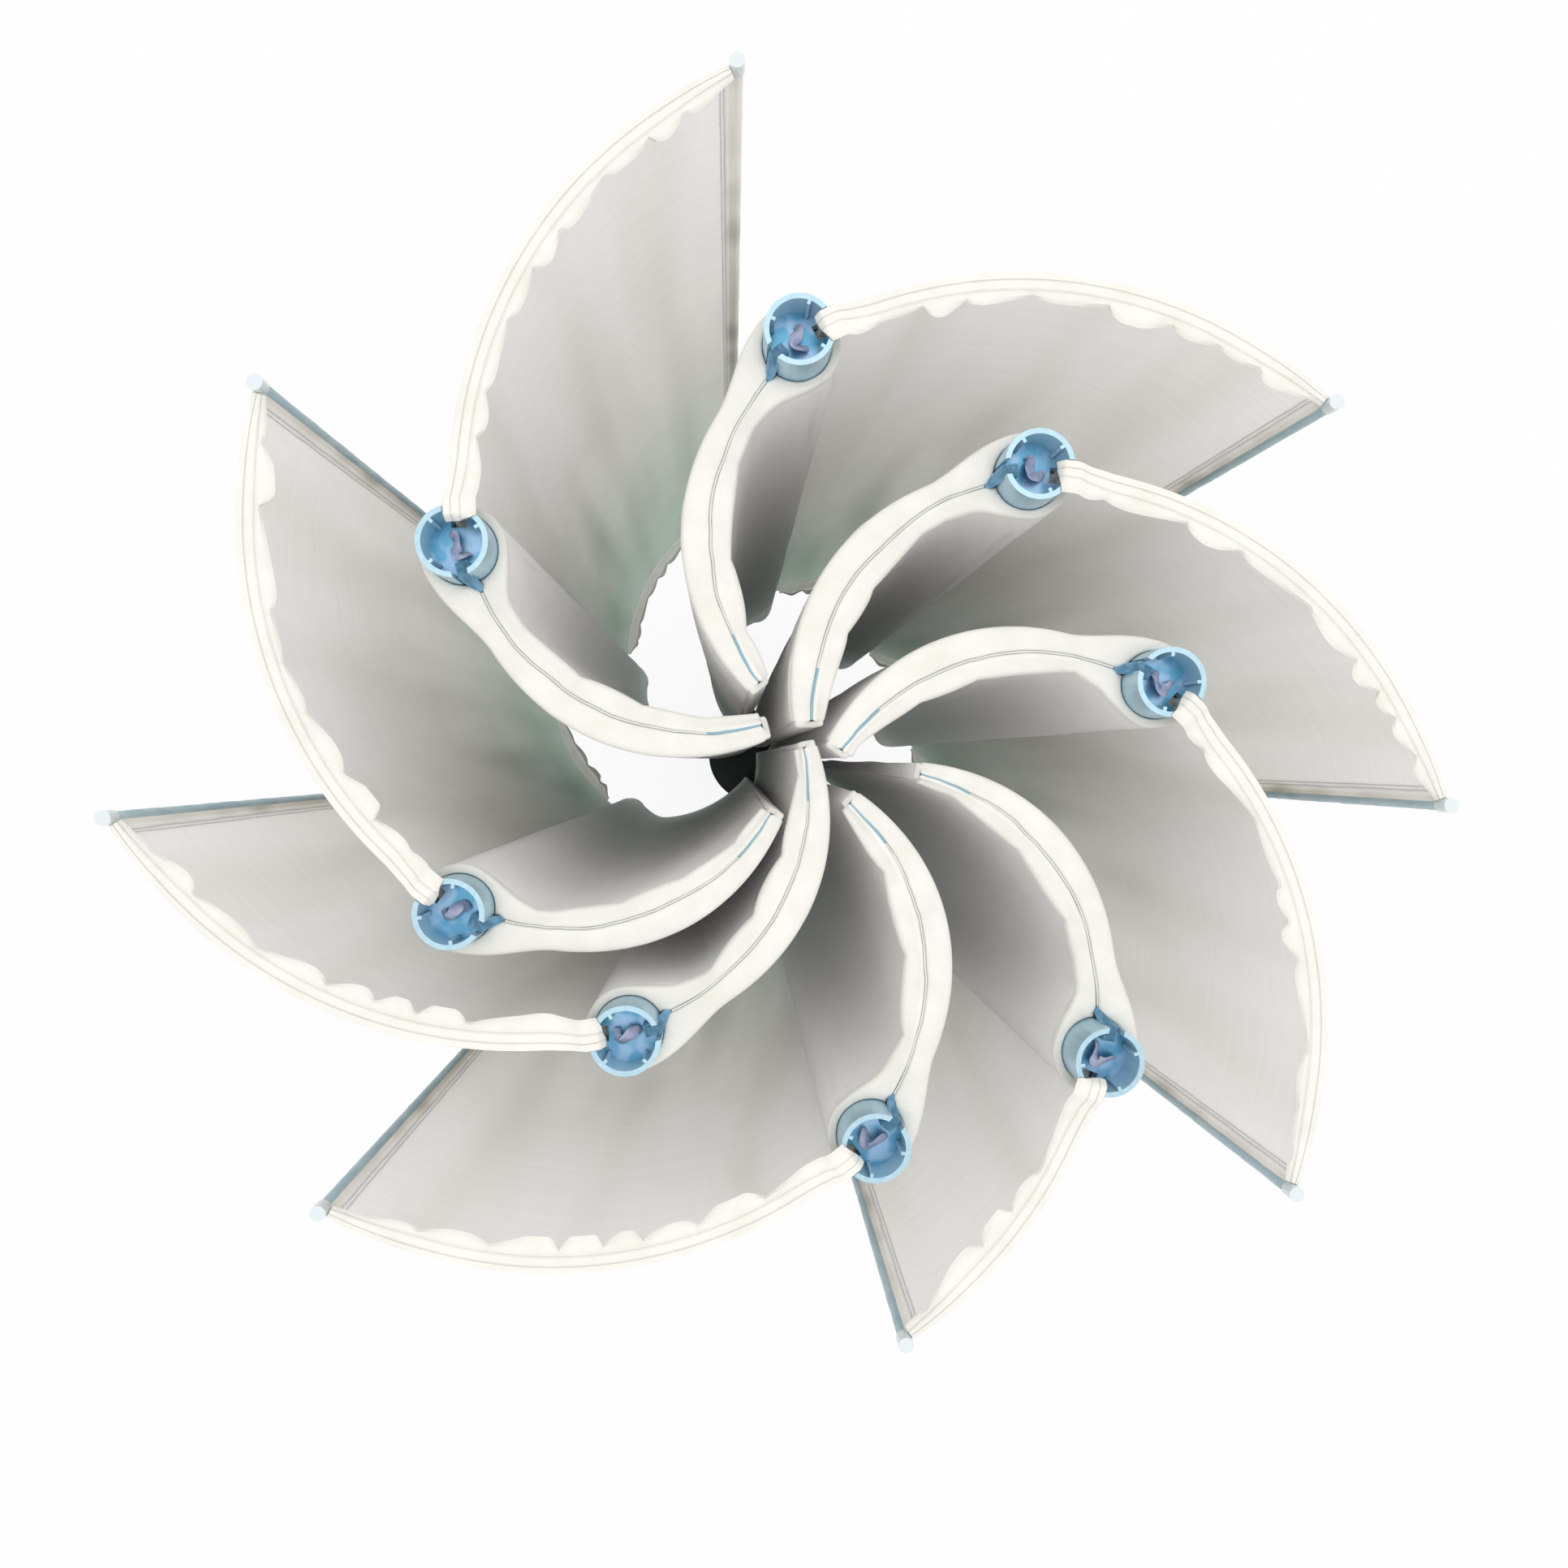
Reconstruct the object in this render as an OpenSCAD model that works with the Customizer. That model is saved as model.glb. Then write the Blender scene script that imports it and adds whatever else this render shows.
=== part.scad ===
// Vertical axis wind turbine. Eight slotted masts stand on curved foot arms around a ring generator.
// Each mast carries a padded inner sail, bowed in to the hub, and an outer sail that swings on its bead.
// Millimetres, +Z up. The origin is on the turning axis, in the underside of the base flange.

/* [Masts] */
// Length of each mast tube
mast_len = 1412; // [800:4:1700]
// Outer diameter of the mast tubes
mast_od = 50; // [46:0.5:52]
// Wall of the mast tubes
mast_wall = 3.75; // [3.25:0.25:4.5]
// Width of the two slots in each mast
slot_w = 11; // [10:0.25:12]
// How far the ribs inside the masts stand in from the wall
rib_depth = 3; // [2:0.25:4]
// Thickness of the ribs inside the masts
rib_w = 2.4; // [1.6:0.2:4]

/* [Inner sails] */
// How far the head of the inner sails lies below the mast tops
inner_drop = 32; // [10:2:60]
// Thickness of the sleeve that wraps the mast
sleeve_wall = 6.2; // [5:0.2:7]
// Thickness of the inner sail where it leaves the sleeve
neck_w = 26; // [22:1:28]
// Extra thickness of the padding half way along the inner sail
belly_w = 14; // [8:1:16]
// Thickness of the webs
web_t = 2.5; // [2:0.25:3.5]
// How far the webs' upper edge is sunk below the head of the inner sails
web_sink = 6; // [3:1:12]

/* [Outer sails] */
// How far the head of the outer sails lies below the mast tops
outer_drop = 4; // [2:1:24]
// Radius that the outer sails bow on
outer_bow_r = 325; // [315:5:345]
// Thickness of the outer sails
cloth_t = 3; // [2.4:0.2:4]
// Diameter of the beads that hold the sails in the masts
bead_d = 14; // [13:0.5:14.5]
// Height of the hem bands at head and foot
hem_h = 14; // [8:1:30]
// Width of the hem bands over most of their length
hem_w = 20; // [14:1:24]
// Diameter of the tip rods
tip_rod_d = 7; // [6:0.5:9]
// Diameter of the caps on the tip rods
tip_cap_d = 11; // [10:0.5:14]

/* [Arms and hub] */
// Width of the foot arms
arm_w = 14; // [12:0.5:14.5]
// Height of the foot arms
arm_h = 24; // [20:1:36]
// Diameter of the hub plate
hub_d = 180; // [176:2:190]
// Thickness of the hub plate
hub_t = 14; // [12:1:20]
// Diameter of the shaft flange under the hub plate
shaft_flange_d = 84; // [80:1:90]
// Thickness of the shaft flange
shaft_flange_t = 10; // [8:0.5:14]

/* [Generator] */
// Thickness of the base flange
base_t = 12; // [10:0.5:16]
// Circle of the bolts that hold the base down
base_pcd = 166; // [164:1:176]
// Diameter of the holes that hold the base down
base_hole_d = 9; // [7:0.5:10]
// Outer diameter of the generator housing
housing_od = 146; // [142:1:148]
// Wall of the generator housing
housing_wall = 6; // [5:0.25:7]
// Height of the generator housing
housing_h = 100; // [94:1:140]
// Height of the stator core and of the magnets
core_h = 40; // [24:1:44]
// Depth of the stator core from its outside to its bore
stator_depth = 22; // [20:0.5:24]
// Air gap between magnets and stator
air_gap = 0.6; // [0.5:0.1:1.5]
// Thickness of the magnets
magnet_t = 4; // [3:0.25:6]
// Thickness of the generator cover
cover_t = 10; // [8:0.5:14]
// Diameter of the cable that the gland takes
cable_d = 8.4; // [6:0.2:9]

/* [Hidden] */
// Inner bow: it leaves the mast at slot_in and bends left
bow_r = 176;
slot_in = -45;
slot_out = 124;
rib_at = [-105, 62, 167];
neck_len = 70;
end_wall = 4;

// How each blade stands: mast distance from the axis in bow radii, its bearing, turn of the blade on its
// mast, bow of the inner sail, bow of its arm, thickness of its hub end, swing and length of the outer sail
mast_reach = [1.591, 1.665, 1.5, 1.534, 1.79, 1.631, 1.347, 1.528];
mast_out = mast_reach*bow_r;
mast_turn = [149, 90, 50, 10.5, -45, -79, -121, -155];
blade_yaw = [0, -6, 0, 3, -12, -7, 0, -6];
inner_arc = [92, 90, 88, 87, 90, 90, 89, 86];
arm_arc = [92, 92, 88, 87, 102, 92, 89, 86];
root_w = [16, 15, 20, 18, 11, 13, 12, 12];
sail_swing = [0, -1, 1, 0, 7, 2, 7, 0];
outer_len = [397, 397, 397, 391, 238, 403, 397, 397];

// Bearings by their catalogue sizes: bore, outer diameter, width, ball, ball circle
low_brg = [25, 52, 15, 7.9, 38.5];
top_brg = [30, 62, 16, 9.5, 46];
balls = 9;
seal_od = 42;
seal_h = 7;

// Clearances
fit = 0.05;
seat_gap = 0.3;
drill_gap = 0.6;
run_gap = 0.2;

// Bolts: shank and head
m5 = 5;
m6 = 6;
m10 = 10;
m5_head = [8.5, 5];
m6_head = [10, 6];
m10_head = [16, 6.4];
thread_in = 12;

// Heights, from the floor up
base_top = base_t;
low_seat_z = base_t - 4;
low_boss_d = low_brg[1] + 12;
housing_z = base_top;
cover_z = housing_z + housing_h;
cover_top = cover_z + cover_t;
boss_d = top_brg[1] + 14;
top_seat_z = cover_z - 8;
top_stop_z = top_seat_z + top_brg[2];
stop_t = 2;
seal_z = top_stop_z + stop_t;
boss_top = max(seal_z + seal_h, cover_top + 1);
collar_z = boss_top + 5;
shaft_flange_z = collar_z + m6_head[1];
hub_z = shaft_flange_z + shaft_flange_t;
arm_z = hub_z + hub_t;
mast_z = arm_z + arm_h;
mast_top = mast_z + mast_len;

// Mast and plug
mast_id = mast_od - 2*mast_wall;
plug_d = mast_id - 2*fit;
plug_h = 60;
plug_top = mast_z + plug_h;
slot_z = plug_top;
sleeve_id = mast_od + 2*seat_gap;
sleeve_od = sleeve_id + 2*sleeve_wall;
arm_boss_d = sleeve_od - 1;
web_clear_r = sleeve_od/2 + 0.5;

// The beads bear on the inner corners of the slots
slot_corner = sqrt(pow(mast_id/2, 2) - pow(slot_w/2, 2));
bead_at = slot_corner - sqrt(pow(bead_d/2 + fit, 2) - pow(slot_w/2, 2));

stop_h = 10;
stop_z = mast_top - 26 - stop_h;
bead_top = stop_z - 2;

// Inner sail and web
inner_top = mast_top - inner_drop;
web_z = mast_z - 6;
web_top = inner_top - web_sink;
web_slit = web_t + 2*0.25;
web_off = 2.5;

// Outer sail
outer_foot = slot_z + seat_gap;
outer_top = mast_top - outer_drop;
pad_w = slot_w - 4;
pad_len = mast_od/2 + 8 - bead_at;
foot_from = pad_len + 14;
head_from = mast_od/2 + 2 - bead_at;
hem_rise = 25;
hem_lap = 0.6;
edge_t = 2;
cap_h = 12;
cap_over = 4;
grip = tip_rod_d/2 - 0.5;

// Hub
pilot_d = 40;
pilot_h = 3;
hub_screw_pcd = shaft_flange_d - 20;
hub_screws_n = 6;
arm_bolt_r = [62, hub_d/2 - 10];
shaft_collar_d = top_brg[0] + 6;

// Generator
base_d = base_pcd + 20;
housing_id = housing_od - 2*housing_wall;
columns_n = 6;
column_d = 12;
column_pcd = housing_od + 2;
column_turn = 30;
column_drop = 0.5;
spigot_h = 3;
core_z = housing_z + (housing_h - core_h)/2 - 2;
core_od = housing_id - 2*fit;
teeth = 12;
tooth_w = 12;
yoke_t = 7;
stator_bore = core_od - 2*stator_depth;
tooth_len = stator_depth - yoke_t;
coil_t = 4;
coil_end = coil_t + 2;
magnets_n = 10;
magnet_od = stator_bore - 2*air_gap;
drum_d = magnet_od - 2*magnet_t - 2*fit;
drum_lap = 2;
drum_shaft_d = 28;
gland_d = 16;
gland_hex = 24;
gland_z = cover_z - 14;
gland_boss_d = gland_hex + 2;
gland_boss_r = column_pcd/2 + 4;
fin_h = 5;
fin_w = 2.5;

// ---- Placing ----

// Blade i's own frame: origin in its mast's axis, +X to the hub
module at_mast(i)
  rotate([0, 0, mast_turn[i]])
    translate([mast_out[i], 0, 0])
      rotate([0, 0, 180 + blade_yaw[i]])
        children();

// Outer sail i's frame: origin in its bead's axis, +X along the sail as it leaves the slot
module at_bead(i)
  at_mast(i)
    rotate([0, 0, slot_out])
      translate([bead_at, 0, 0])
        rotate([0, 0, sail_swing[i]])
          children();

// Upright curved wall of thickness w on radius r about the origin, from angle a0 over angle a
module curved_wall(r, w, a0, a, z0, z1)
  translate([0, 0, z0])
    rotate([0, 0, a0])
      rotate_extrude(angle = a, $fn = 180)
        translate([r - w/2, 0])
          square([w, z1 - z0]);

// Upright rod
module rod(d, z0, z1)
  translate([0, 0, z0])
    cylinder(d = d, h = z1 - z0, $fn = 64);

// Part of the inner bow, from distance s0 to distance s1 along it, off to its hollow side
function turn_of(s, r) = s/r*180/PI;
bow_start = slot_in - 90;
bow_centre = [-bow_r*sin(slot_in), bow_r*cos(slot_in)];
module bow_wall(w, s0, s1, z0, z1, off = 0)
  translate([bow_centre[0], bow_centre[1], 0])
    curved_wall(bow_r - off, w, bow_start + turn_of(s0, bow_r), turn_of(s1 - s0, bow_r), z0, z1);
function bow_len(arc) = arc*PI/180*bow_r;
function bow_pt(s, off) =
  let (a = bow_start + turn_of(s, bow_r))
    [bow_centre[0] + (bow_r - off)*cos(a), bow_centre[1] + (bow_r - off)*sin(a)];

// Part of the outer bow in the bead's frame, from s0 to s1 along it, bending right
module sail_wall(w, s0, s1, z0, z1)
  translate([0, -outer_bow_r, 0])
    curved_wall(outer_bow_r, w, 90 - turn_of(s1, outer_bow_r), turn_of(s1 - s0, outer_bow_r), z0, z1);
function sail_pt(s, off) =
  let (a = 90 - turn_of(s, outer_bow_r))
    [(outer_bow_r + off)*cos(a), (outer_bow_r + off)*sin(a) - outer_bow_r];

// Frame at the outer sail's tip: the cloth lies toward -X
module at_tip(i)
  at_bead(i)
    translate([0, -outer_bow_r, 0])
      rotate([0, 0, 90 - turn_of(outer_len[i], outer_bow_r)])
        translate([outer_bow_r, 0, 0])
          rotate([0, 0, -90])
            children();

// ---- Masts ----

module mast(i)
  color("lightsteelblue")
    at_mast(i) {
      difference() {
        rod(mast_od, mast_z, mast_top);
        rod(mast_id, mast_z - 1, mast_top + 1);
        for (a = [slot_in, slot_out])
          rotate([0, 0, a])
            translate([bead_at, -slot_w/2, slot_z])
              cube([mast_od, slot_w, mast_len]);
      }
      intersection() {
        rod(mast_id + mast_wall, slot_z, mast_top);
        for (a = rib_at)
          rotate([0, 0, a])
            translate([mast_id/2 - rib_depth, -rib_w/2, slot_z])
              cube([rib_depth + mast_wall/2, rib_w, mast_top - slot_z]);
      }
    }

// Stop pressed into a mast's head over the beads, with a tongue in the inner slot
module head_stop()
  difference() {
    union() {
      rod(plug_d, stop_z, stop_z + stop_h);
      rotate([0, 0, slot_in])
        translate([0, run_gap - slot_w/2, stop_z])
          cube([mast_od/2 - 1, slot_w - 2*run_gap, stop_h]);
    }
    rotate([0, 0, slot_out])
      translate([bead_at - 2, -slot_w/2, stop_z - 1])
        cube([mast_od, slot_w, stop_h + 2]);
    for (a = rib_at)
      rotate([0, 0, a])
        translate([mast_id/2 - rib_depth - run_gap, -rib_w/2 - run_gap, stop_z - 1])
          cube([rib_depth + mast_wall, rib_w + 2*run_gap, stop_h + 2]);
  }

module mast_plugs()
  color("slategray")
    for (i = [0:7])
      at_mast(i) {
        difference() {
          rod(plug_d, mast_z, plug_top);
          rod(m10 + 2*fit, mast_z - 1, mast_z + 3*thread_in);
        }
        head_stop();
      }

module mast_bolts()
  color("silver")
    for (i = [0:7])
      at_mast(i) {
        rod(m10_head[0], arm_z - m10_head[1], arm_z);
        rod(m10, arm_z - m10_head[1], mast_z + 3*thread_in - 4);
      }

// ---- Inner sails ----

// Half the padding's thickness, s from the mast's axis along a bow of length len
function pad_half(i, s, len) =
  let (t = (s - neck_len)/(len - neck_len))
    s < neck_len
      ? neck_w/2 + (sleeve_od/2 - 0.4 - neck_w/2)*(1 + cos(180*s/neck_len))/2
      : neck_w/2*(1 - t) + root_w[i]/2*t + belly_w/2*sin(180*t);

module inner_sail(i) {
  len = bow_len(inner_arc[i]);
  steps = 28;
  side_a = [for (k = [0:steps]) bow_pt(k*len/steps, pad_half(i, k*len/steps, len))];
  side_b = [for (k = [steps:-1:0]) bow_pt(k*len/steps, -pad_half(i, k*len/steps, len))];
  color("linen")
    at_mast(i)
      difference() {
        union() {
          translate([0, 0, mast_z])
            linear_extrude(inner_top - mast_z)
              polygon(concat(side_a, side_b));
          rod(sleeve_od, mast_z, inner_top);
        }
        rod(sleeve_id, mast_z - 1, inner_top + 1);
        bow_wall(web_slit, mast_od/2 - 2, len - end_wall, mast_z - 1, inner_top + 1, web_off);
        rotate([0, 0, slot_out])
          translate([mast_od/2 - 4, -slot_w/2 - 2, mast_z - 1])
            cube([sleeve_od/2, slot_w + 4, mast_len]);
      }
}

module inner_webs()
  color("steelblue")
    for (i = [0:7])
      at_mast(i) {
        rotate([0, 0, slot_in])
          translate([bead_at, 0, 0])
            rod(bead_d, slot_z + seat_gap, bead_top);
        difference() {
          bow_wall(web_t, bead_at - 3, bow_len(inner_arc[i]) - end_wall - 1, web_z, web_top, web_off);
          rod(2*web_clear_r, web_z - 1, slot_z + seat_gap + 2);
        }
      }

// ---- Outer sails ----

// Width of the hem band that starts at s0, s from the bead along a sail of length len
function hem_at(s, s0, len) =
  let (up = min(1, max(0, (s - s0)/hem_rise)), down = min(1, max(0, (len - s)/120)))
    cloth_t/2 + 3 + (hem_w - cloth_t/2 - 3)*up*(1 - 0.85*pow(1 - down, 1.5));

module hem_band(i, s0, z0) {
  len = outer_len[i];
  s1 = len - tip_cap_d/2 - 1;
  steps = 30;
  out = [for (k = [0:steps]) sail_pt(s0 + k*(s1 - s0)/steps, cloth_t/2 + hem_lap)];
  back = [for (k = [steps:-1:0]) let (s = s0 + k*(s1 - s0)/steps) sail_pt(s, cloth_t/2 - hem_at(s, s0, len))];
  translate([0, 0, z0])
    linear_extrude(hem_h)
      polygon(concat(out, back));
}

module outer_sail(i) {
  len = outer_len[i];
  rod_s = len - tip_rod_d/2;
  color("gainsboro")
    at_bead(i) {
      rod(bead_d, outer_foot, bead_top);
      translate([0, -pad_w/2, outer_foot])
        cube([pad_len, pad_w, outer_top - outer_foot - 0.5]);
      sail_wall(cloth_t, pad_len - 4, rod_s - 4, outer_foot + 1, outer_top - 1);
      sail_wall(edge_t, rod_s - 8, rod_s + grip - seat_gap, outer_foot + 2, outer_top - 2);
      hem_band(i, foot_from, outer_foot);
      hem_band(i, head_from, outer_top - hem_h);
    }
}

module tip_rod(i)
  color("slategray")
    at_tip(i)
      difference() {
        union() {
          rod(tip_rod_d, outer_foot, outer_top);
          rod(tip_cap_d, outer_foot - cap_over, outer_foot - cap_over + cap_h);
          rod(tip_cap_d, outer_top + cap_over - cap_h, outer_top + cap_over);
        }
        translate([-tip_cap_d, -edge_t/2 - 0.1, outer_foot + 1.5])
          cube([tip_cap_d - tip_rod_d/2 + grip, edge_t + 0.2, outer_top - outer_foot - 3]);
      }

// ---- Arms and hub ----

// Angle about the bow's centre at which bow i lies r from the turning axis
function turned(p, a) = [p[0]*cos(a) - p[1]*sin(a), p[0]*sin(a) + p[1]*cos(a)];
function blade_pt(i, p) =
  turned(turned(p, 180 + blade_yaw[i]) + [mast_out[i], 0], mast_turn[i]);
function bow_angle_at(i, r) =
  let (c = blade_pt(i, bow_centre), d = norm(c))
    atan2(-c[1], -c[0]) - acos((d*d + bow_r*bow_r - r*r)/(2*d*bow_r));
function arm_bolt_pt(i, r) =
  let (c = blade_pt(i, bow_centre), a = bow_angle_at(i, r))
    [c[0] + bow_r*cos(a), c[1] + bow_r*sin(a), 0];

module arm(i)
  color("dimgray")
    difference() {
      at_mast(i) {
        rod(arm_boss_d, arm_z, mast_z);
        bow_wall(arm_w, arm_boss_d/2 - 6, bow_len(arm_arc[i]), arm_z, mast_z);
      }
      at_mast(i) {
        rod(m10 + 0.5, arm_z - 1, mast_z + 1);
        bow_wall(web_t + 0.2, web_clear_r - 0.5, bow_len(inner_arc[i]) + 1, web_z, mast_z + 1, web_off);
      }
      for (r = arm_bolt_r)
        translate(arm_bolt_pt(i, r))
          rod(m6 + 2*fit, arm_z - 1, arm_z + thread_in + 2);
    }

module arm_bolts()
  color("silver")
    for (i = [0:7])
      for (r = arm_bolt_r)
        translate(arm_bolt_pt(i, r)) {
          rod(m6_head[0], hub_z - m6_head[1], hub_z);
          rod(m6, hub_z - m6_head[1], arm_z + thread_in);
        }

module hub_plate()
  color("dimgray")
    difference() {
      rod(hub_d, hub_z, arm_z);
      rod(pilot_d + 2*fit, hub_z - 1, hub_z + pilot_h + 0.5);
      for (k = [0:hub_screws_n - 1])
        rotate([0, 0, k*360/hub_screws_n])
          translate([hub_screw_pcd/2, 0, 0])
            rod(m6 + 2*fit, hub_z - 1, hub_z + hub_t - 3);
      for (i = [0:7])
        for (r = arm_bolt_r)
          translate(arm_bolt_pt(i, r))
            rod(m6 + drill_gap, hub_z - 1, arm_z + 1);
    }

module hub_screws()
  color("silver")
    for (k = [0:hub_screws_n - 1])
      rotate([0, 0, k*360/hub_screws_n])
        translate([hub_screw_pcd/2, 0, 0]) {
          rod(m6_head[0], shaft_flange_z - m6_head[1], shaft_flange_z);
          rod(m6, shaft_flange_z - m6_head[1], hub_z + hub_t - 4);
        }

module rotor_shaft()
  color("silver")
    difference() {
      union() {
        rod(low_brg[0], low_seat_z + 0.5, low_seat_z + low_brg[2]);
        rod(drum_shaft_d, low_seat_z + low_brg[2], top_seat_z);
        rod(top_brg[0], top_seat_z, collar_z);
        rod(shaft_collar_d, collar_z, shaft_flange_z);
        rod(shaft_flange_d, shaft_flange_z, hub_z);
        rod(pilot_d, hub_z - 1, hub_z + pilot_h);
      }
      for (k = [0:hub_screws_n - 1])
        rotate([0, 0, k*360/hub_screws_n])
          translate([hub_screw_pcd/2, 0, 0])
            rod(m6 + drill_gap, shaft_flange_z - 1, hub_z + 1);
    }

// ---- Generator ----

module magnet_drum()
  color("gray")
    difference() {
      rod(drum_d, core_z - drum_lap, core_z + core_h + drum_lap);
      rod(drum_shaft_d + 2*fit, core_z - drum_lap - 1, core_z + core_h + drum_lap + 1);
      for (z = [core_z - drum_lap - 1, core_z + core_h/2 + 5])
        difference() {
          rod(drum_d - 12, z, z + core_h/2 - 5 + drum_lap + 1);
          rod(drum_shaft_d + 16, z - 1, z + core_h);
        }
    }

module rotor_magnets()
  color("darkgray")
    for (k = [0:magnets_n - 1])
      curved_wall((magnet_od - magnet_t)/2, magnet_t, k*360/magnets_n, 360/magnets_n - 5,
        core_z, core_z + core_h);

// Outer or inner ring of a bearing b whose underside is at z, with its ball groove
module outer_ring(b, z)
  difference() {
    rod(b[1] - 2*fit, z, z + b[2]);
    rod(b[4] + b[3]/2, z - 1, z + b[2] + 1);
    translate([0, 0, z + b[2]/2])
      rotate_extrude($fn = 96)
        translate([b[4]/2, 0])
          circle(d = b[3] + 2*run_gap, $fn = 48);
  }
module inner_ring(b, z)
  difference() {
    rod(b[4] - b[3]/2, z, z + b[2]);
    rod(b[0] + 2*fit, z - 1, z + b[2] + 1);
    translate([0, 0, z + b[2]/2])
      rotate_extrude($fn = 96)
        translate([b[4]/2, 0])
          circle(d = b[3] + 2*fit, $fn = 48);
  }
module ball_row(b, z)
  for (k = [0:balls - 1])
    rotate([0, 0, k*360/balls])
      translate([b[4]/2, 0, z + b[2]/2])
        sphere(d = b[3], $fn = 48);

module bearing_outer_rings()
  color("silver") {
    outer_ring(low_brg, low_seat_z);
    outer_ring(top_brg, top_seat_z);
  }

module bearing_inner_rings()
  color("silver") {
    inner_ring(low_brg, low_seat_z);
    inner_ring(top_brg, top_seat_z);
  }

module bearing_balls()
  color("silver") {
    ball_row(low_brg, low_seat_z);
    ball_row(top_brg, top_seat_z);
  }

module at_columns()
  for (k = [0:columns_n - 1])
    rotate([0, 0, column_turn + k*360/columns_n])
      translate([column_pcd/2, 0, 0])
        children();

module base_flange()
  color("dimgray")
    difference() {
      union() {
        rod(base_d, 0, base_top);
        rod(housing_id - 2*fit, base_top - 1, base_top + spigot_h);
        rod(low_boss_d, base_top - 1, low_seat_z + low_brg[2]);
      }
      difference() {
        rod(housing_id - 14, base_top, base_top + spigot_h + 1);
        rod(low_boss_d, base_top - 1, base_top + spigot_h + 2);
      }
      rod(low_brg[1], low_seat_z, low_seat_z + low_brg[2] + 1);
      for (k = [0:columns_n - 1])
        rotate([0, 0, k*360/columns_n])
          translate([base_pcd/2, 0, 0])
            rod(base_hole_d, -1, base_top + 1);
      at_columns()
        rod(m5 + 2*fit, base_top - 9, base_top + 1);
    }

module generator_housing()
  color("dimgray")
    difference() {
      union() {
        rod(housing_od, housing_z, cover_z);
        at_columns()
          rod(column_d, housing_z, cover_z - column_drop);
        for (k = [0:columns_n - 1])
          for (a = [-12, -4, 4, 12])
            if (k > 0)
              rotate([0, 0, k*360/columns_n + a])
                translate([housing_od/2 - 1, -fin_w/2, housing_z + 8])
                  cube([fin_h + 1, fin_w, housing_h - 16]);
        rotate([0, 90, 0])
          translate([-gland_z, 0, housing_od/2 - housing_wall/2])
            cylinder(d = gland_boss_d, h = gland_boss_r - housing_od/2 + housing_wall/2, $fn = 64);
      }
      rod(housing_id, housing_z - 1, cover_z + 1);
      at_columns()
        rod(m5 + drill_gap, housing_z - 1, cover_z + 1);
      rotate([0, 90, 0])
        translate([-gland_z, 0, housing_id/2 - 8])
          cylinder(d = gland_d + 2*fit, h = housing_od, $fn = 64);
    }

module generator_cover()
  color("dimgray")
    difference() {
      union() {
        rod(housing_od, cover_z, cover_top);
        at_columns()
          rod(column_d, cover_z, cover_top);
        rod(boss_d, top_seat_z, boss_top);
        difference() {
          rod(housing_id - 2*fit, cover_z - spigot_h, cover_z + 1);
          rod(housing_id - 8, cover_z - spigot_h - 1, cover_z);
        }
      }
      rod(top_brg[1], top_seat_z - 1, top_stop_z);
      rod(seal_od - 2, top_stop_z - 1, seal_z + 1);
      rod(seal_od, seal_z, boss_top + 1);
      at_columns()
        rod(m5 + drill_gap, cover_z - 1, cover_top + 1);
    }

module shaft_seal()
  color("black")
    difference() {
      rod(seal_od - 2*fit, seal_z, seal_z + seal_h);
      rod(top_brg[0] + 2*run_gap, seal_z - 1, seal_z + seal_h + 1);
    }

module tie_screws()
  color("silver")
    at_columns() {
      rod(m5_head[0], cover_top, cover_top + m5_head[1]);
      rod(m5, base_top - 8, cover_top + m5_head[1]);
    }

module stator_core()
  color("gray")
    union() {
      difference() {
        rod(core_od, core_z, core_z + core_h);
        rod(stator_bore + 2*tooth_len, core_z - 1, core_z + core_h + 1);
      }
      intersection() {
        for (k = [0:teeth - 1])
          rotate([0, 0, k*360/teeth])
            translate([stator_bore/2 - 4, -tooth_w/2, core_z])
              cube([tooth_len + 8, tooth_w, core_h]);
        difference() {
          rod(core_od - 2, core_z, core_z + core_h);
          rod(stator_bore, core_z - 1, core_z + core_h + 1);
        }
      }
    }

module stator_coils()
  color("peru")
    for (k = [0:teeth - 1])
      rotate([0, 0, k*360/teeth])
        difference() {
          translate([stator_bore/2 + 2.5, -tooth_w/2 - seat_gap - coil_t, core_z - coil_end])
            cube([tooth_len - 5, tooth_w + 2*seat_gap + 2*coil_t, core_h + 2*coil_end]);
          translate([stator_bore/2 - 1, -tooth_w/2 - seat_gap, core_z - seat_gap])
            cube([tooth_len + 5, tooth_w + 2*seat_gap, core_h + 2*seat_gap]);
        }

module cable_gland()
  color("black")
    rotate([0, 90, 0])
      translate([-gland_z, 0, 0])
        difference() {
          union() {
            translate([0, 0, housing_id/2 - 2])
              cylinder(d = gland_d, h = gland_boss_r - housing_id/2 + 3, $fn = 64);
            translate([0, 0, gland_boss_r])
              cylinder(d = gland_hex, h = 5, $fn = 6);
            translate([0, 0, gland_boss_r + 4])
              cylinder(d = gland_hex - 5, h = 4, $fn = 64);
            translate([0, 0, gland_boss_r + 8])
              cylinder(d = gland_hex - 1, h = 10, $fn = 6);
            translate([0, 0, gland_boss_r + 17])
              cylinder(d1 = gland_hex - 4, d2 = cable_d + 6, h = 6, $fn = 64);
          }
          translate([0, 0, housing_id/2 - 6])
            cylinder(d = cable_d, h = gland_boss_r, $fn = 64);
        }

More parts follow.
